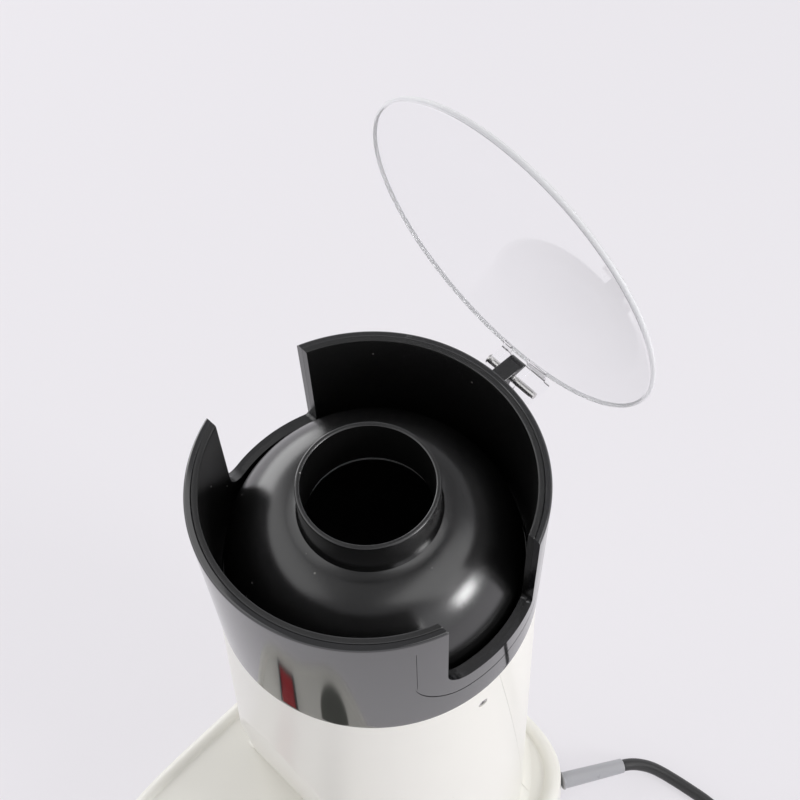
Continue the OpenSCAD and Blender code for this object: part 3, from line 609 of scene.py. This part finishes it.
def make_tie():
    """Flat strap closed round the four turns."""
    half, low, high, thick, corner = 6.3, 0.05, 14.1, 0.9, 2.0
    across, upper, lower = half + thick - corner, high - corner, low + corner
    outer = (arc((across, upper), corner, 0, 90, 5) + arc((-across, upper), corner, 90, 180, 5)
             + arc((-across, lower), corner, 180, 270, 5) + arc((across, lower), corner, 270, 360, 5))
    tie = prism("cord_tie_strap", [(x, 0, z) for x, z in outer], (0, TIE_W, 0))
    hole = prism("tie_hole", [(x * half / (half + thick), -1, thick + (z - low) * (high - 2 * thick) / high)
                              for x, z in outer], (0, TIE_W + 2, 0))
    combine(tie, hole)
    place(tie, shift(*COIL_AT) @ turn(TIE_TURN, "Z") @ shift(STRAND_MID, -TIE_W / 2, 0))
    return soften(tie, 0.25, 2, 50)


def make_plug():
    """Two-blade plug: rounded grip with finger hollows and a ribbed tail."""
    tail_l, grip_l, grip_w, grip_h = 20, 26, 24, 16
    deselect()
    bpy.ops.mesh.primitive_cube_add(size=1)
    grip = added("plug_grip")
    place(grip, shift(tail_l + grip_l / 2, 0, 0)
          @ Matrix.Diagonal((grip_l * MM, grip_w * MM, grip_h * MM, 1)))
    edit(grip, "EDGE")
    bpy.ops.mesh.select_all(action="SELECT")
    bpy.ops.mesh.bevel(offset=3.2 * MM, segments=5, affect="EDGES")
    bpy.ops.object.mode_set(mode="OBJECT")
    for side in (-1, 1):
        combine(grip, rod("finger_hollow", 14, 30, shift(tail_l + 10, side * 24.4, -15), 64))
    soften(grip, 0.5, 2, 50)
    profile = [(0, -0.5), (3.3, -0.5)]
    for i in range(5):
        z, r = 1.5 + 3.6 * i, 3.5 + 0.2 * i
        profile += [(r, z), (r + 0.35, z + 0.4), (r + 0.35, z + 1.7), (r, z + 2.1)]
    profile += [(4.6, tail_l + 0.5), (4.6, tail_l + 3), (0, tail_l + 3)]
    tail = lathe("plug_tail", profile, 48, closed=False, axis_at=(0, 0))
    combine(grip, place(tail, ALONG_X), "UNION")
    return place(grip, shift(*PLUG_AT))


cord = make_cord()
boot = make_strain_relief()
tie = make_tie()
plug = make_plug()
for piece in (boot, tie, plug):
    smooth(piece, 40)
finish_piece(cord, "cord_black", stands_for=["cord_tube", "cord_coil"])
# The boot's grey finish is a painted sheen over what is a black rubber boot.
finish_piece(boot, "grey_rubber", stands_for=["strain_relief"], finish="boot_painted_sheen_grey")
finish_piece(tie, "black_satin", stands_for=["cord_tie"])
finish_piece(plug, "cord_black", stands_for=["plug_body"])


# ---- Tray ----
def tray_outline(inset, count=192):
    """Rounded outline of the tray, squarer at the rear than at the front."""
    points = []
    for i in range(count):
        angle = math.tau * i / count
        c, s = math.cos(angle), math.sin(angle)
        power = 2 / (REAR_SQUARE if s >= 0 else FRONT_SQUARE)
        points.append(((TRAY_HALF_W - inset) * math.copysign(abs(c) ** power, c),
                       TRAY_Y + (TRAY_HALF_L - inset) * math.copysign(abs(s) ** power, s)))
    return points


def outline_ring(name, inset, z, count=192):
    """A circle of edges reshaped to the tray's outline."""
    deselect()
    bpy.ops.mesh.primitive_circle_add(vertices=count, radius=0.1)
    ring = added(name)
    by_angle = sorted(ring.data.vertices, key=lambda v: math.atan2(v.co.y, v.co.x) % math.tau)
    for vertex, (x, y) in zip(by_angle, tray_outline(inset, count)):
        vertex.co = Vector((x, y, z)) * MM
    return ring


def outline_loft(name, rings):
    """A closed solid through rings of the outline; each ring is (inset, z)."""
    loft = outline_ring(name, *rings[0])
    edit(loft)
    bpy.ops.mesh.select_all(action="SELECT")
    bpy.ops.mesh.edge_face_add()
    bpy.ops.mesh.select_all(action="SELECT")
    bpy.ops.mesh.extrude_region_move()
    for (inset, z), (next_inset, next_z) in zip(rings, rings[1:]):
        if (inset, z) != rings[0]:
            bpy.ops.mesh.extrude_region_move()
        bpy.ops.transform.translate(value=(0, 0, (next_z - z) * MM))
        bpy.ops.transform.resize(
            value=((TRAY_HALF_W - next_inset) / (TRAY_HALF_W - inset),
                   (TRAY_HALF_L - next_inset) / (TRAY_HALF_L - inset), 1),
            center_override=(0, TRAY_Y * MM, 0))
    bpy.ops.object.mode_set(mode="OBJECT")
    return tidy_normals(loft)


def make_tray():
    """Hollow tray with a rounded lip, a sunk deck, a switch opening and a pad well."""
    lip_z = LIP_TOP - LIP_R
    lip = [(DRAFT + LIP_R - LIP_R * math.cos(a), lip_z + LIP_R * math.sin(a))
           for a in (math.radians(12 * i) for i in range(14))]
    inside = [(6.7, DECK_Z - WALL), (3.7, DECK_Z - WALL - 3), (3.3, TRAY_LOW + 2.5), (3.3, TRAY_LOW)]
    skirt = [(1.3, TRAY_LOW), (0.5, TRAY_LOW + 0.2), (0.1, TRAY_LOW + 0.7), (0.0, TRAY_LOW + 1.4)]
    deck = [(DECK_INSET - 0.25, DECK_Z + 0.12), (DECK_INSET + 0.2, DECK_Z)]
    tray = outline_loft("tray_moulding", inside + skirt + lip + deck)
    half_w, half_l = (SWITCH_W - 2.8) / 2, (SWITCH_L - 2.8) / 2
    combine(tray, block("switch_opening", (SWITCH_X - half_w, SWITCH_Y - half_l, DECK_Z - 6),
                        (SWITCH_X + half_w, SWITCH_Y + half_l, DECK_Z + 4)))
    combine(tray, rod("air_opening", 42, 10, shift(0, TOWER_Y, DECK_Z - 6), 96))
    well = rod("pad_well_cup", PAD_R + WALL, 4, shift(PAD_X, PAD_Y, DECK_Z - PAD_DEEP - WALL), 96)
    combine(tray, well, "UNION")
    combine(tray, rod("pad_well", PAD_R + 0.3, 10, shift(PAD_X, PAD_Y, DECK_Z - PAD_DEEP), 96))
    return tray


finish_piece(smooth(make_tray(), 32), "ivory_plastic", stands_for=["tray"])


# ---- Tower ----
# The foot and its flare sink into the deck. The flare's cuts miss the facet and the seam by a
# hair, so that no two faces lie in one plane where they are joined.
FOOT_SUNK, FLARE_SUNK = 0.6, 0.57
FLARE_CLEAR, FLARE_SHORT = 0.02, 0.04
SCREW_DOWN = 12.5
FACET_TILT = math.atan((TOWER_TOP_R + (TAPER + math.tan(LEAN)) * (COLLAR_Z - FACET_TOP) - FACET_Y)
                       / (FACET_TOP - DECK_Z))


def bisect(obj, point, normal, keep_below=True, fill=False):
    """Cuts obj by a plane and clears one side of it."""
    edit(obj)
    bpy.ops.mesh.select_all(action="SELECT")
    bpy.ops.mesh.bisect(plane_co=Vector(point) * MM, plane_no=normal, use_fill=fill,
                        clear_outer=keep_below, clear_inner=not keep_below)
    bpy.ops.object.mode_set(mode="OBJECT")
    return obj


def facet_normal():
    return Vector((0, -math.cos(FACET_TILT), -math.sin(FACET_TILT)))


def tower_form(name):
    """Outer skin of the tower: a leaning cone with a flat, soft-edged facet in front."""
    spare, height = 10, COLLAR_Z - DECK_Z
    middle = -height / 2
    deselect()
    bpy.ops.mesh.primitive_cone_add(
        vertices=256, radius1=(TOWER_FOOT_R + spare * TAPER) * MM,
        radius2=(TOWER_TOP_R - spare * TAPER) * MM,
        depth=(height + 2 * spare) * MM, rotation=(-LEAN, 0, 0),
        location=Vector((0, TOWER_Y + middle * math.sin(LEAN), COLLAR_Z + middle * math.cos(LEAN))) * MM)
    skin = added(name)
    place(skin, skin.matrix_world.copy())
    bisect(skin, (0, TOWER_Y - FACET_Y, DECK_Z), facet_normal(), fill=True)
    edit(skin, "EDGE")
    normal, start = facet_normal(), Vector((0, TOWER_Y - FACET_Y, DECK_Z)) * MM
    on_facet = lambda v: abs((v.co - start).dot(normal)) < 2e-6
    select_where(skin, lambda e: all(on_facet(v) for v in e.verts)
                 and any(not all(on_facet(v) for v in f.verts) for f in e.link_faces), "edges")
    bpy.ops.mesh.bevel(offset=FACET_ROUND * MM, segments=5, affect="EDGES", profile=0.5)
    bpy.ops.object.mode_set(mode="OBJECT")
    bisect(skin, (0, 0, COLLAR_Z), (0, 0, 1))
    return bisect(skin, (0, 0, DECK_Z - FOOT_SUNK), (0, 0, 1), keep_below=False)


def flare_form(name):
    """Concave flare round the foot, kept on the deck and clear of the facet."""
    foot, inner, low = TOWER_FOOT_R, TOWER_FOOT_R - 1.3, DECK_Z - FLARE_SUNK
    profile = [(inner, low), (inner, DECK_Z + 3.5), (foot - 0.35, DECK_Z + 5.4)]
    profile += arc((foot + FLARE_R, FLARE_R + DECK_Z), FLARE_R, 184, 262, 8) + [(foot + 4.6, low)]
    flare = lathe(name, profile, 192, axis_at=(0, TOWER_Y - FOOT_FORWARD))
    deck = outline_ring("deck_edge", DECK_INSET + 0.1, DECK_Z - 3)
    edit(deck)
    bpy.ops.mesh.select_all(action="SELECT")
    bpy.ops.mesh.edge_face_add()
    bpy.ops.mesh.extrude_region_move(TRANSFORM_OT_translate={"value": (0, 0, 20 * MM)})
    bpy.ops.object.mode_set(mode="OBJECT")
    combine(flare, tidy_normals(deck), "INTERSECT")
    front = block("facet_room", (-90, -60, -30), (90, 0, 60))
    place(front, shift(0, TOWER_Y - FACET_Y + FLARE_CLEAR, DECK_Z) @ turn(FACET_TILT, "X"))
    return combine(flare, front)


def make_shell(name, front):
    """One half of the tower on its side of the leaning seam."""
    sign = 1 if front else -1
    normal = Vector((0, math.cos(SEAM_LEAN), math.sin(SEAM_LEAN))) * sign
    shell = tower_form(name)
    bisect(shell, (0, TOWER_Y - SEAM_GAP * sign, SEAM_Z), normal)
    apply_modifier(shell, "SOLIDIFY", thickness=WALL * MM, offset=-1, use_even_offset=False)
    flare = flare_form("foot_flare")
    bisect(flare, (0, TOWER_Y - (SEAM_GAP + FLARE_SHORT) * sign, SEAM_Z), normal, fill=True)
    combine(shell, flare, "UNION")
    tidy_normals(shell)
    if front:
        for angle in (-6, 186):
            seat = rod("screw_seat", 2.05, 10, shift(0, TOWER_Y, COLLAR_Z - SCREW_DOWN)
                       @ turn(math.radians(angle), "Z") @ ALONG_X
                       @ shift(0, 0, TOWER_TOP_R + TAPER * SCREW_DOWN - 1.2))
            combine(shell, seat)
    return shell


for half in ("front", "rear"):
    finish_piece(smooth(make_shell("tower_" + half, half == "front"), 28), "ivory_plastic",
                 stands_for=[half + "_shell"])


# ---- Collar and funnel ----
def notch_outline(off):
    """Outline of a pouring notch, grown by off, as (across, height) points: tight at the rear."""
    half, low, high = NOTCH_W / 2 + off, SILL_Z - off, RIM_Z + 40
    front, rear = NOTCH_CORNER + off, NOTCH_REAR_CORNER + off
    return ([(-half, high)] + arc((-half + front, low + front), front, 180, 270, 16)
            + arc((half - rear, low + rear), rear, 270, 360, 12) + [(half, high)])


def notch_tool(off, x0, x1):
    return prism("notch_tool", [(x0, TOWER_Y + y, z) for y, z in notch_outline(off)], (x1 - x0, 0, 0))


def groove_tool(side):
    """The thin strip that is cut round a notch, down to the groove's floor."""
    strip = notch_tool(GROOVE_OFF + GROOVE_W, side * 30, side * 70)
    combine(strip, notch_tool(GROOVE_OFF, side * 25, side * 75))
    tall, floor_r = RIM_Z - RIM_ROUND - COLLAR_Z, COLLAR_R - GROOVE_DEPTH
    combine(strip, rod("groove_floor", floor_r - 2 * COLLAR_DRAFT, 2 * tall,
                       shift(0, TOWER_Y, COLLAR_Z - tall), 256, floor_r))
    return combine(strip, block("groove_end", (-90, -90, RIM_Z - 8), (90, 150, 360)))


def make_collar():
    """Glossy ring with two pouring notches and a groove round each; the hinge lug is joined on afterwards.
    """
    low_r, low_bore = COLLAR_R - COLLAR_DRAFT, LINER_OUT - COLLAR_DRAFT
    tall, steps = RIM_Z - RIM_ROUND - COLLAR_Z, 24
    profile = [(low_bore, COLLAR_Z + 0.3), (low_bore + 0.3, COLLAR_Z)]
    profile += [(low_r - 0.35, COLLAR_Z), (low_r - 0.1, COLLAR_Z + 0.1), (low_r, COLLAR_Z + 0.35)]
    profile += [(low_r + COLLAR_DRAFT * i / steps, COLLAR_Z + tall * i / steps) for i in range(1, steps)]
    profile += arc((COLLAR_R - RIM_ROUND, RIM_Z - RIM_ROUND), RIM_ROUND, 0, 90, 8)
    profile += [(LINER_OUT + 0.25, RIM_Z), (LINER_OUT, RIM_Z - 0.25), (LINER_OUT, SEAT_Z + 6)]
    collar = lathe("collar_ring", profile, 256)
    for side in (-1, 1):
        combine(collar, notch_tool(0, side * 20, side * 80))
        combine(collar, groove_tool(side))
    return collar


def make_lug():
    """Hinge lug on the rear of the collar, in the hinge's own plane."""
    root, back, high, low = COLLAR_R - 1.5, HINGE_R + 5.6, HINGE_Z + 4.3, HINGE_Z - 4.3
    outline = [(root, high)] + arc((back - 1.6, high - 1.6), 1.6, 90, 0, 5)
    outline += arc((back - 3, low + 3), 3, 0, -90, 8) + [(root, low - 6)]
    lug = prism("hinge_lug", [(-LUG_W / 2, y, z) for y, z in outline], (LUG_W, 0, 0))
    combine(lug, rod("pin_hole", PIN_HOLE_R, 12, shift(-6, HINGE_R, HINGE_Z) @ ALONG_X, 32))
    soften(lug, 0.5, 3, 50)
    return place(lug, shift(0, TOWER_Y, 0) @ turn(HINGE_TURN, "Z"))


def make_funnel():
    """Liner, dome and neck in one moulding."""
    foot_r, foot_z = LINER_IN - 1.3, SILL_Z - 13
    top_r, top_z = NECK_OUT + 2.5, NECK_BASE - 2
    steps, fullness = 28, 0.95

    def dome(t, drop=0.0):
        """A point of the dome from its top (t = 0) to its foot (t = 1), sunk by drop."""
        a = math.radians(90 * t)
        out, up = math.sin(a) ** fullness, math.cos(a) ** fullness if t < 1 else 0.0
        return (top_r + (foot_r - top_r) * out - drop * out, top_z - (top_z - foot_z) * (1 - up) - drop)

    upper = [dome(i / steps) for i in range(steps + 1)]
    under = [dome(i / steps, DOME_WALL) for i in range(steps, -1, -1)]
    profile = [(NECK_OUT, NECK_BASE + 1), (NECK_OUT + 0.15, NECK_BASE), (NECK_OUT + 0.9, NECK_BASE - 1.4)]
    profile += upper + [(foot_r + 0.3, foot_z - 0.6), (LINER_IN - 0.3, foot_z - 0.6)]
    profile += [(LINER_IN, foot_z), (LINER_IN, RIM_Z - 0.7), (LINER_IN + 0.2, RIM_Z - 0.2),
                (LINER_IN + 0.7, RIM_Z), (LINER_OUT - 0.3, RIM_Z), (LINER_OUT - 0.05, RIM_Z - 0.25)]
    profile += [(LINER_OUT - 0.05, SEAT_Z), (LINER_IN - 1, SEAT_Z)]
    profile += [(foot_r - DOME_WALL, foot_z - DOME_WALL - 1)] + under
    profile += [(NECK_OUT, NECK_FOOT), (NECK_R, NECK_FOOT)]
    profile += arc((NECK_R + 0.6, NECK_TOP - 0.6), 0.6, 180, 90, 5)
    profile += arc((NECK_OUT - 0.6, NECK_TOP - 0.6), 0.6, 90, 0, 5)
    funnel = lathe("funnel_moulding", profile, 256)
    for side in (-1, 1):
        tool = notch_tool(0, side * 20, side * 80)
        combine(tool, rod("bowl_room", LINER_IN - 0.5, 140, shift(0, TOWER_Y, 200), 192))
        combine(funnel, tool)
    return funnel


collar = make_collar()
combine(collar, make_lug(), "UNION")
soften(collar, 0.12, 2, 50)
finish_piece(smooth(collar, 30), "black_gloss", stands_for=["top_collar"])
funnel = soften(make_funnel(), 0.15, 2, 50)
finish_piece(smooth(funnel, 30), "black_satin", stands_for=["funnel"])


# ---- Lid ----
KNUCKLES = ((-8.0, -3.6), (3.6, 12.6))
LID_STEPS = 480
LID_POSE = (shift(0, TOWER_Y, 0) @ turn(HINGE_TURN, "Z") @ shift(0, HINGE_R, HINGE_Z)
            @ turn(LID_OPEN, "X") @ shift(0, -HINGE_R, -HINGE_Z))


def make_lid():
    """Shallow clear dome with a rounded edge and two knuckles, swung open about its hinge."""
    big = (LID_R ** 2 + LID_RISE ** 2) / (2 * LID_RISE)
    centre = LID_PLANE + LID_WALL + LID_RISE - big
    round_r = LID_WALL / 2
    reach = math.degrees(math.asin((LID_R - round_r) / big))
    inner_reach = math.degrees(math.asin((LID_R - 1.5) / big))
    top, under = LID_PLANE + LID_WALL, LID_PLANE + 0.2
    profile = arc((0, centre), big, 90, 90 - reach, 40)
    profile += arc((LID_R - round_r, LID_PLANE + round_r), round_r, 70, -100, 12)
    profile += arc((0, centre - LID_WALL), big, 90 - inner_reach, 90, 36)
    lid = lathe("clear_lid", profile, LID_STEPS, closed=False, axis_at=(0, 0))
    r, root, back = 3.6, LID_R - 3, HINGE_R + 3.6
    side = [(back, HINGE_Z), (back, top - 1), (back - 0.3, top - 0.3), (back - 1, top), (root, top)]
    side += [(root, under), (HINGE_R - r, under)] + arc((HINGE_R, HINGE_Z), r, 180, 350, 16)
    for x0, x1 in KNUCKLES:
        knuckle = prism("lid_knuckle", [(x0, y, z) for y, z in side], (x1 - x0, 0, 0))
        combine(knuckle, rod("pin_room", KNUCKLE_HOLE_R, 30, shift(-15, HINGE_R, HINGE_Z) @ ALONG_X, 32))
        soften(knuckle, 0.3, 2, 50)
        combine(lid, knuckle, "UNION")
    tidy_normals(lid)
    return place(lid, LID_POSE)


def paint_lid_edge_light(lid):
    """Paints the faces of the lid's rounded edge a pale grey: painted light for the glow of the clear edge,
    which is the same plastic as its window.
    """
    lid.data.materials.append(FINISH["lid_edge_painted_light"])
    closed = LID_POSE.inverted()
    for face in lid.data.polygons:
        spot = closed @ face.center / MM
        if LID_R - 0.8 < math.hypot(spot.x, spot.y) < LID_R + 0.05:
            face.material_index = 1


paint_lid_edge_light(finish_piece(smooth(make_lid(), 30), "clear_plastic", "lid", ["lid"]))


# ---- Switch and pad ----
def make_switch_frame():
    """Snap-in frame with rounded corners, a bevelled face and the rocker's well."""
    thick, corner, rim = 2.0, 1.5, 0.7
    deselect()
    bpy.ops.mesh.primitive_cube_add(size=1)
    bezel = added("switch_bezel")
    place(bezel, shift(0, 0, DECK_Z + thick / 2)
          @ Matrix.Diagonal((SWITCH_W * MM, SWITCH_L * MM, thick * MM, 1)))
    edit(bezel, "EDGE")
    select_where(bezel, lambda e: abs(e.verts[0].co.z - e.verts[1].co.z) > 1e-4, "edges")
    bpy.ops.mesh.bevel(offset=corner * MM, segments=5, affect="EDGES")
    bpy.ops.mesh.select_mode(type="EDGE")
    select_where(bezel, lambda e: min(v.co.z for v in e.verts) > (DECK_Z + thick - 0.1) * MM, "edges")
    bpy.ops.mesh.bevel(offset=rim * MM, segments=3, affect="EDGES")
    bpy.ops.object.mode_set(mode="OBJECT")
    half_w, half_l = SWITCH_W / 2 - 1.6, SWITCH_L / 2 - 1.6
    combine(bezel, block("switch_case", (-half_w, -half_l, DECK_Z - 15), (half_w, half_l, DECK_Z + 0.5)),
            "UNION")
    room_w, room_l = ROCKER_HALF_W + 0.4, ROCKER_R + 0.4
    combine(bezel, block("rocker_room", (-room_w, -room_l, DECK_Z - 9), (room_w, room_l, DECK_Z + 5)))
    soften(bezel, 0.2, 2, 60)
    return place(bezel, shift(SWITCH_X, SWITCH_Y, 0))


def make_rocker():
    """Curved rocker with raised ends and a ring mark and bar mark sunk in it."""
    r, end_z, mark_z, mark_deep, low = ROCKER_R, 6.8, 5.15, 0.35, 26
    end = math.degrees(math.asin(end_z / r))
    corner = (r * math.cos(math.radians(end)), end_z)
    dips = [(r * 0.84, 6.55), (r * 0.65, 5.75), (r * 0.45, 5.0), (r * 0.25, 4.25), (r * 0.1, 3.8)]
    outline = [corner] + dips + [(0, 3.7)] + [(-y, z) for y, z in reversed([corner] + dips)]
    outline += arc((0, 0), r, 180 - end, 180 + low, 8)[1:] + arc((0, 0), r, 360 - low, 360 + end, 8)[:-1]
    rocker = prism("rocker_cap", [(-ROCKER_HALF_W, y, z) for y, z in outline], (2 * ROCKER_HALF_W, 0, 0))
    soften(rocker, 0.4, 3, 40)
    slope = math.atan2(dips[0][1] - dips[-1][1], dips[0][0] - dips[-1][0])
    ring = lathe("off_mark", [(2.1, -mark_deep), (2.9, -mark_deep), (2.9, 1), (2.1, 1)], 48,
                 axis_at=(0, 0))
    combine(rocker, place(ring, shift(0, r * 0.5, mark_z) @ turn(slope, "X")))
    bar = block("on_mark", (-0.45, -2.6, -mark_deep), (0.45, 2.6, 1))
    combine(rocker, place(bar, shift(0, -r * 0.5, mark_z) @ turn(-slope, "X")
                          @ turn(math.radians(90), "Z")))
    return place(rocker, shift(SWITCH_X, SWITCH_Y, DECK_Z - 1.4) @ turn(ROCKER_TILT, "X"))


def make_pad():
    """Soft round pad with fine moulded rings."""
    low, top = DECK_Z - PAD_DEEP, DECK_Z
    profile = [(0, low), (PAD_R - 0.3, low), (PAD_R, low + 0.3), (PAD_R, top - 0.3), (PAD_R - 0.3, top)]
    r = PAD_R - 2
    while r > 3:
        profile += [(r, top), (r - 0.25, top - 0.35), (r - 0.75, top - 0.35), (r - 1.0, top)]
        r -= 2.4
    return lathe("cup_pad_disc", profile + [(0, top)], 96, closed=False, axis_at=(PAD_X, PAD_Y))


finish_piece(smooth(make_switch_frame(), 35), "black_gloss", stands_for=["switch_frame"])
finish_piece(smooth(make_rocker(), 35), "red_plastic", "rocker", ["rocker"])
finish_piece(smooth(make_pad(), 35), "olive_rubber", stands_for=["cup_pad"])


# ---- Solids that show as they are ----
KEPT = {
    "bottom_plate": "ivory_plastic", "feet": "black_rubber", "base_screws": "screw_steel",
    "shell_screws": "screw_steel", "hinge_pin": "screw_steel", "chamber_gasket": "grey_rubber",
    "popping_chamber": "chamber_aluminium", "heater_duct": "duct_aluminium", "mica_frame": "mica",
    "heater_coil": "heater_wire", "thermal_cutout": "cutout_brass", "motor_bracket": "black_satin",
    "motor": "motor_steel", "fan": "black_satin", "motor_shaft": "screw_steel",
    "rectifier_board": "board", "plug_pins": "plug_brass",
}
for name, slot in KEPT.items():
    NODES[name].data.materials.clear()
    NODES[name].data.materials.append(FINISH[slot])


# ---- Floor, lamps and world ----
FLOOR_COLOUR = (0.83, 0.81, 0.845, 1)


def shown_ray(tree):
    """1 for what the camera, a mirror or glass sees directly, 0 for light that bounces on."""
    path = node(tree, "ShaderNodeLightPath")
    seen = math_node(tree, "MAXIMUM", path.outputs["Is Camera Ray"], path.outputs["Is Glossy Ray"])
    return math_node(tree, "MAXIMUM", seen, path.outputs["Is Transmission Ray"])


def make_floor():
    """Wide pale floor that keeps a soft shadow."""
    deselect()
    bpy.ops.mesh.primitive_plane_add(size=14, location=(0.1, 0, 0))
    floor = added("floor")
    place(floor, floor.matrix_world.copy())
    material, tree, shader = bare_material("floor_paper", Roughness=0.9, Specular_IOR_Level=0.1)
    shader.inputs["Base Color"].default_value = FLOOR_COLOUR
    glow = node(tree, "ShaderNodeEmission")
    glow.inputs["Color"].default_value = FLOOR_COLOUR
    blend = node(tree, "ShaderNodeMixShader")
    share = math_node(tree, "MULTIPLY", shown_ray(tree), 0.7)
    tree.links.new(share, blend.inputs[0])
    tree.links.new(shader.outputs[0], blend.inputs[1])
    tree.links.new(glow.outputs[0], blend.inputs[2])
    tree.links.new(blend.outputs[0], tree.nodes["Material Output"].inputs["Surface"])
    floor.data.materials.append(material)


def make_lamp(name, place_at, target, size, power):
    """A square soft box that faces the target."""
    lamp = bpy.data.lights.new(name, "AREA")
    lamp.shape = "RECTANGLE"
    lamp.size, lamp.size_y = size
    lamp.energy = power
    obj = bpy.data.objects.new(name, lamp)
    SCENE.collection.objects.link(obj)
    obj.location = place_at
    obj.rotation_euler = (Vector(target) - Vector(place_at)).to_track_quat("-Z", "Y").to_euler()


def make_world():
    """A studio that is bright round the horizon and dim overhead."""
    world = bpy.data.worlds.new("studio")
    SCENE.world = world
    world.use_nodes = True
    tree = world.node_tree
    background = tree.nodes["Background"]
    background.inputs["Color"].default_value = (0.97, 0.97, 1.0, 1)
    up = node(tree, "ShaderNodeSeparateXYZ")
    tree.links.new(node(tree, "ShaderNodeTexCoord").outputs["Generated"], up.inputs[0])
    level = node(tree, "ShaderNodeMapRange", interpolation_type="SMOOTHSTEP")
    for label, value in (("From Min", 0.35), ("From Max", 0.85), ("To Min", 0.88), ("To Max", 0.3)):
        level.inputs[label].default_value = value
    tree.links.new(up.outputs["Z"], level.inputs["Value"])
    tree.links.new(level.outputs[0], background.inputs["Strength"])


make_floor()
make_lamp("key_box", (0.75, 0.62, 1.75), (0, 0.04, 0.2), (1.5, 1.5), 8)
make_lamp("front_box", (-1.35, -0.735, 1.84), (0, 0, 0.1), (2.2, 2.2), 12.5)
make_lamp("left_box", (-1.63, 0.27, 0.7), (0, 0.04, 0.26), (1.1, 1.1), 9)
make_lamp("right_box", (1.45, 0.60, 0.74), (0, 0.04, 0.28), (0.45, 0.45), 9)
make_world()
SCENE.view_settings.view_transform = "Standard"
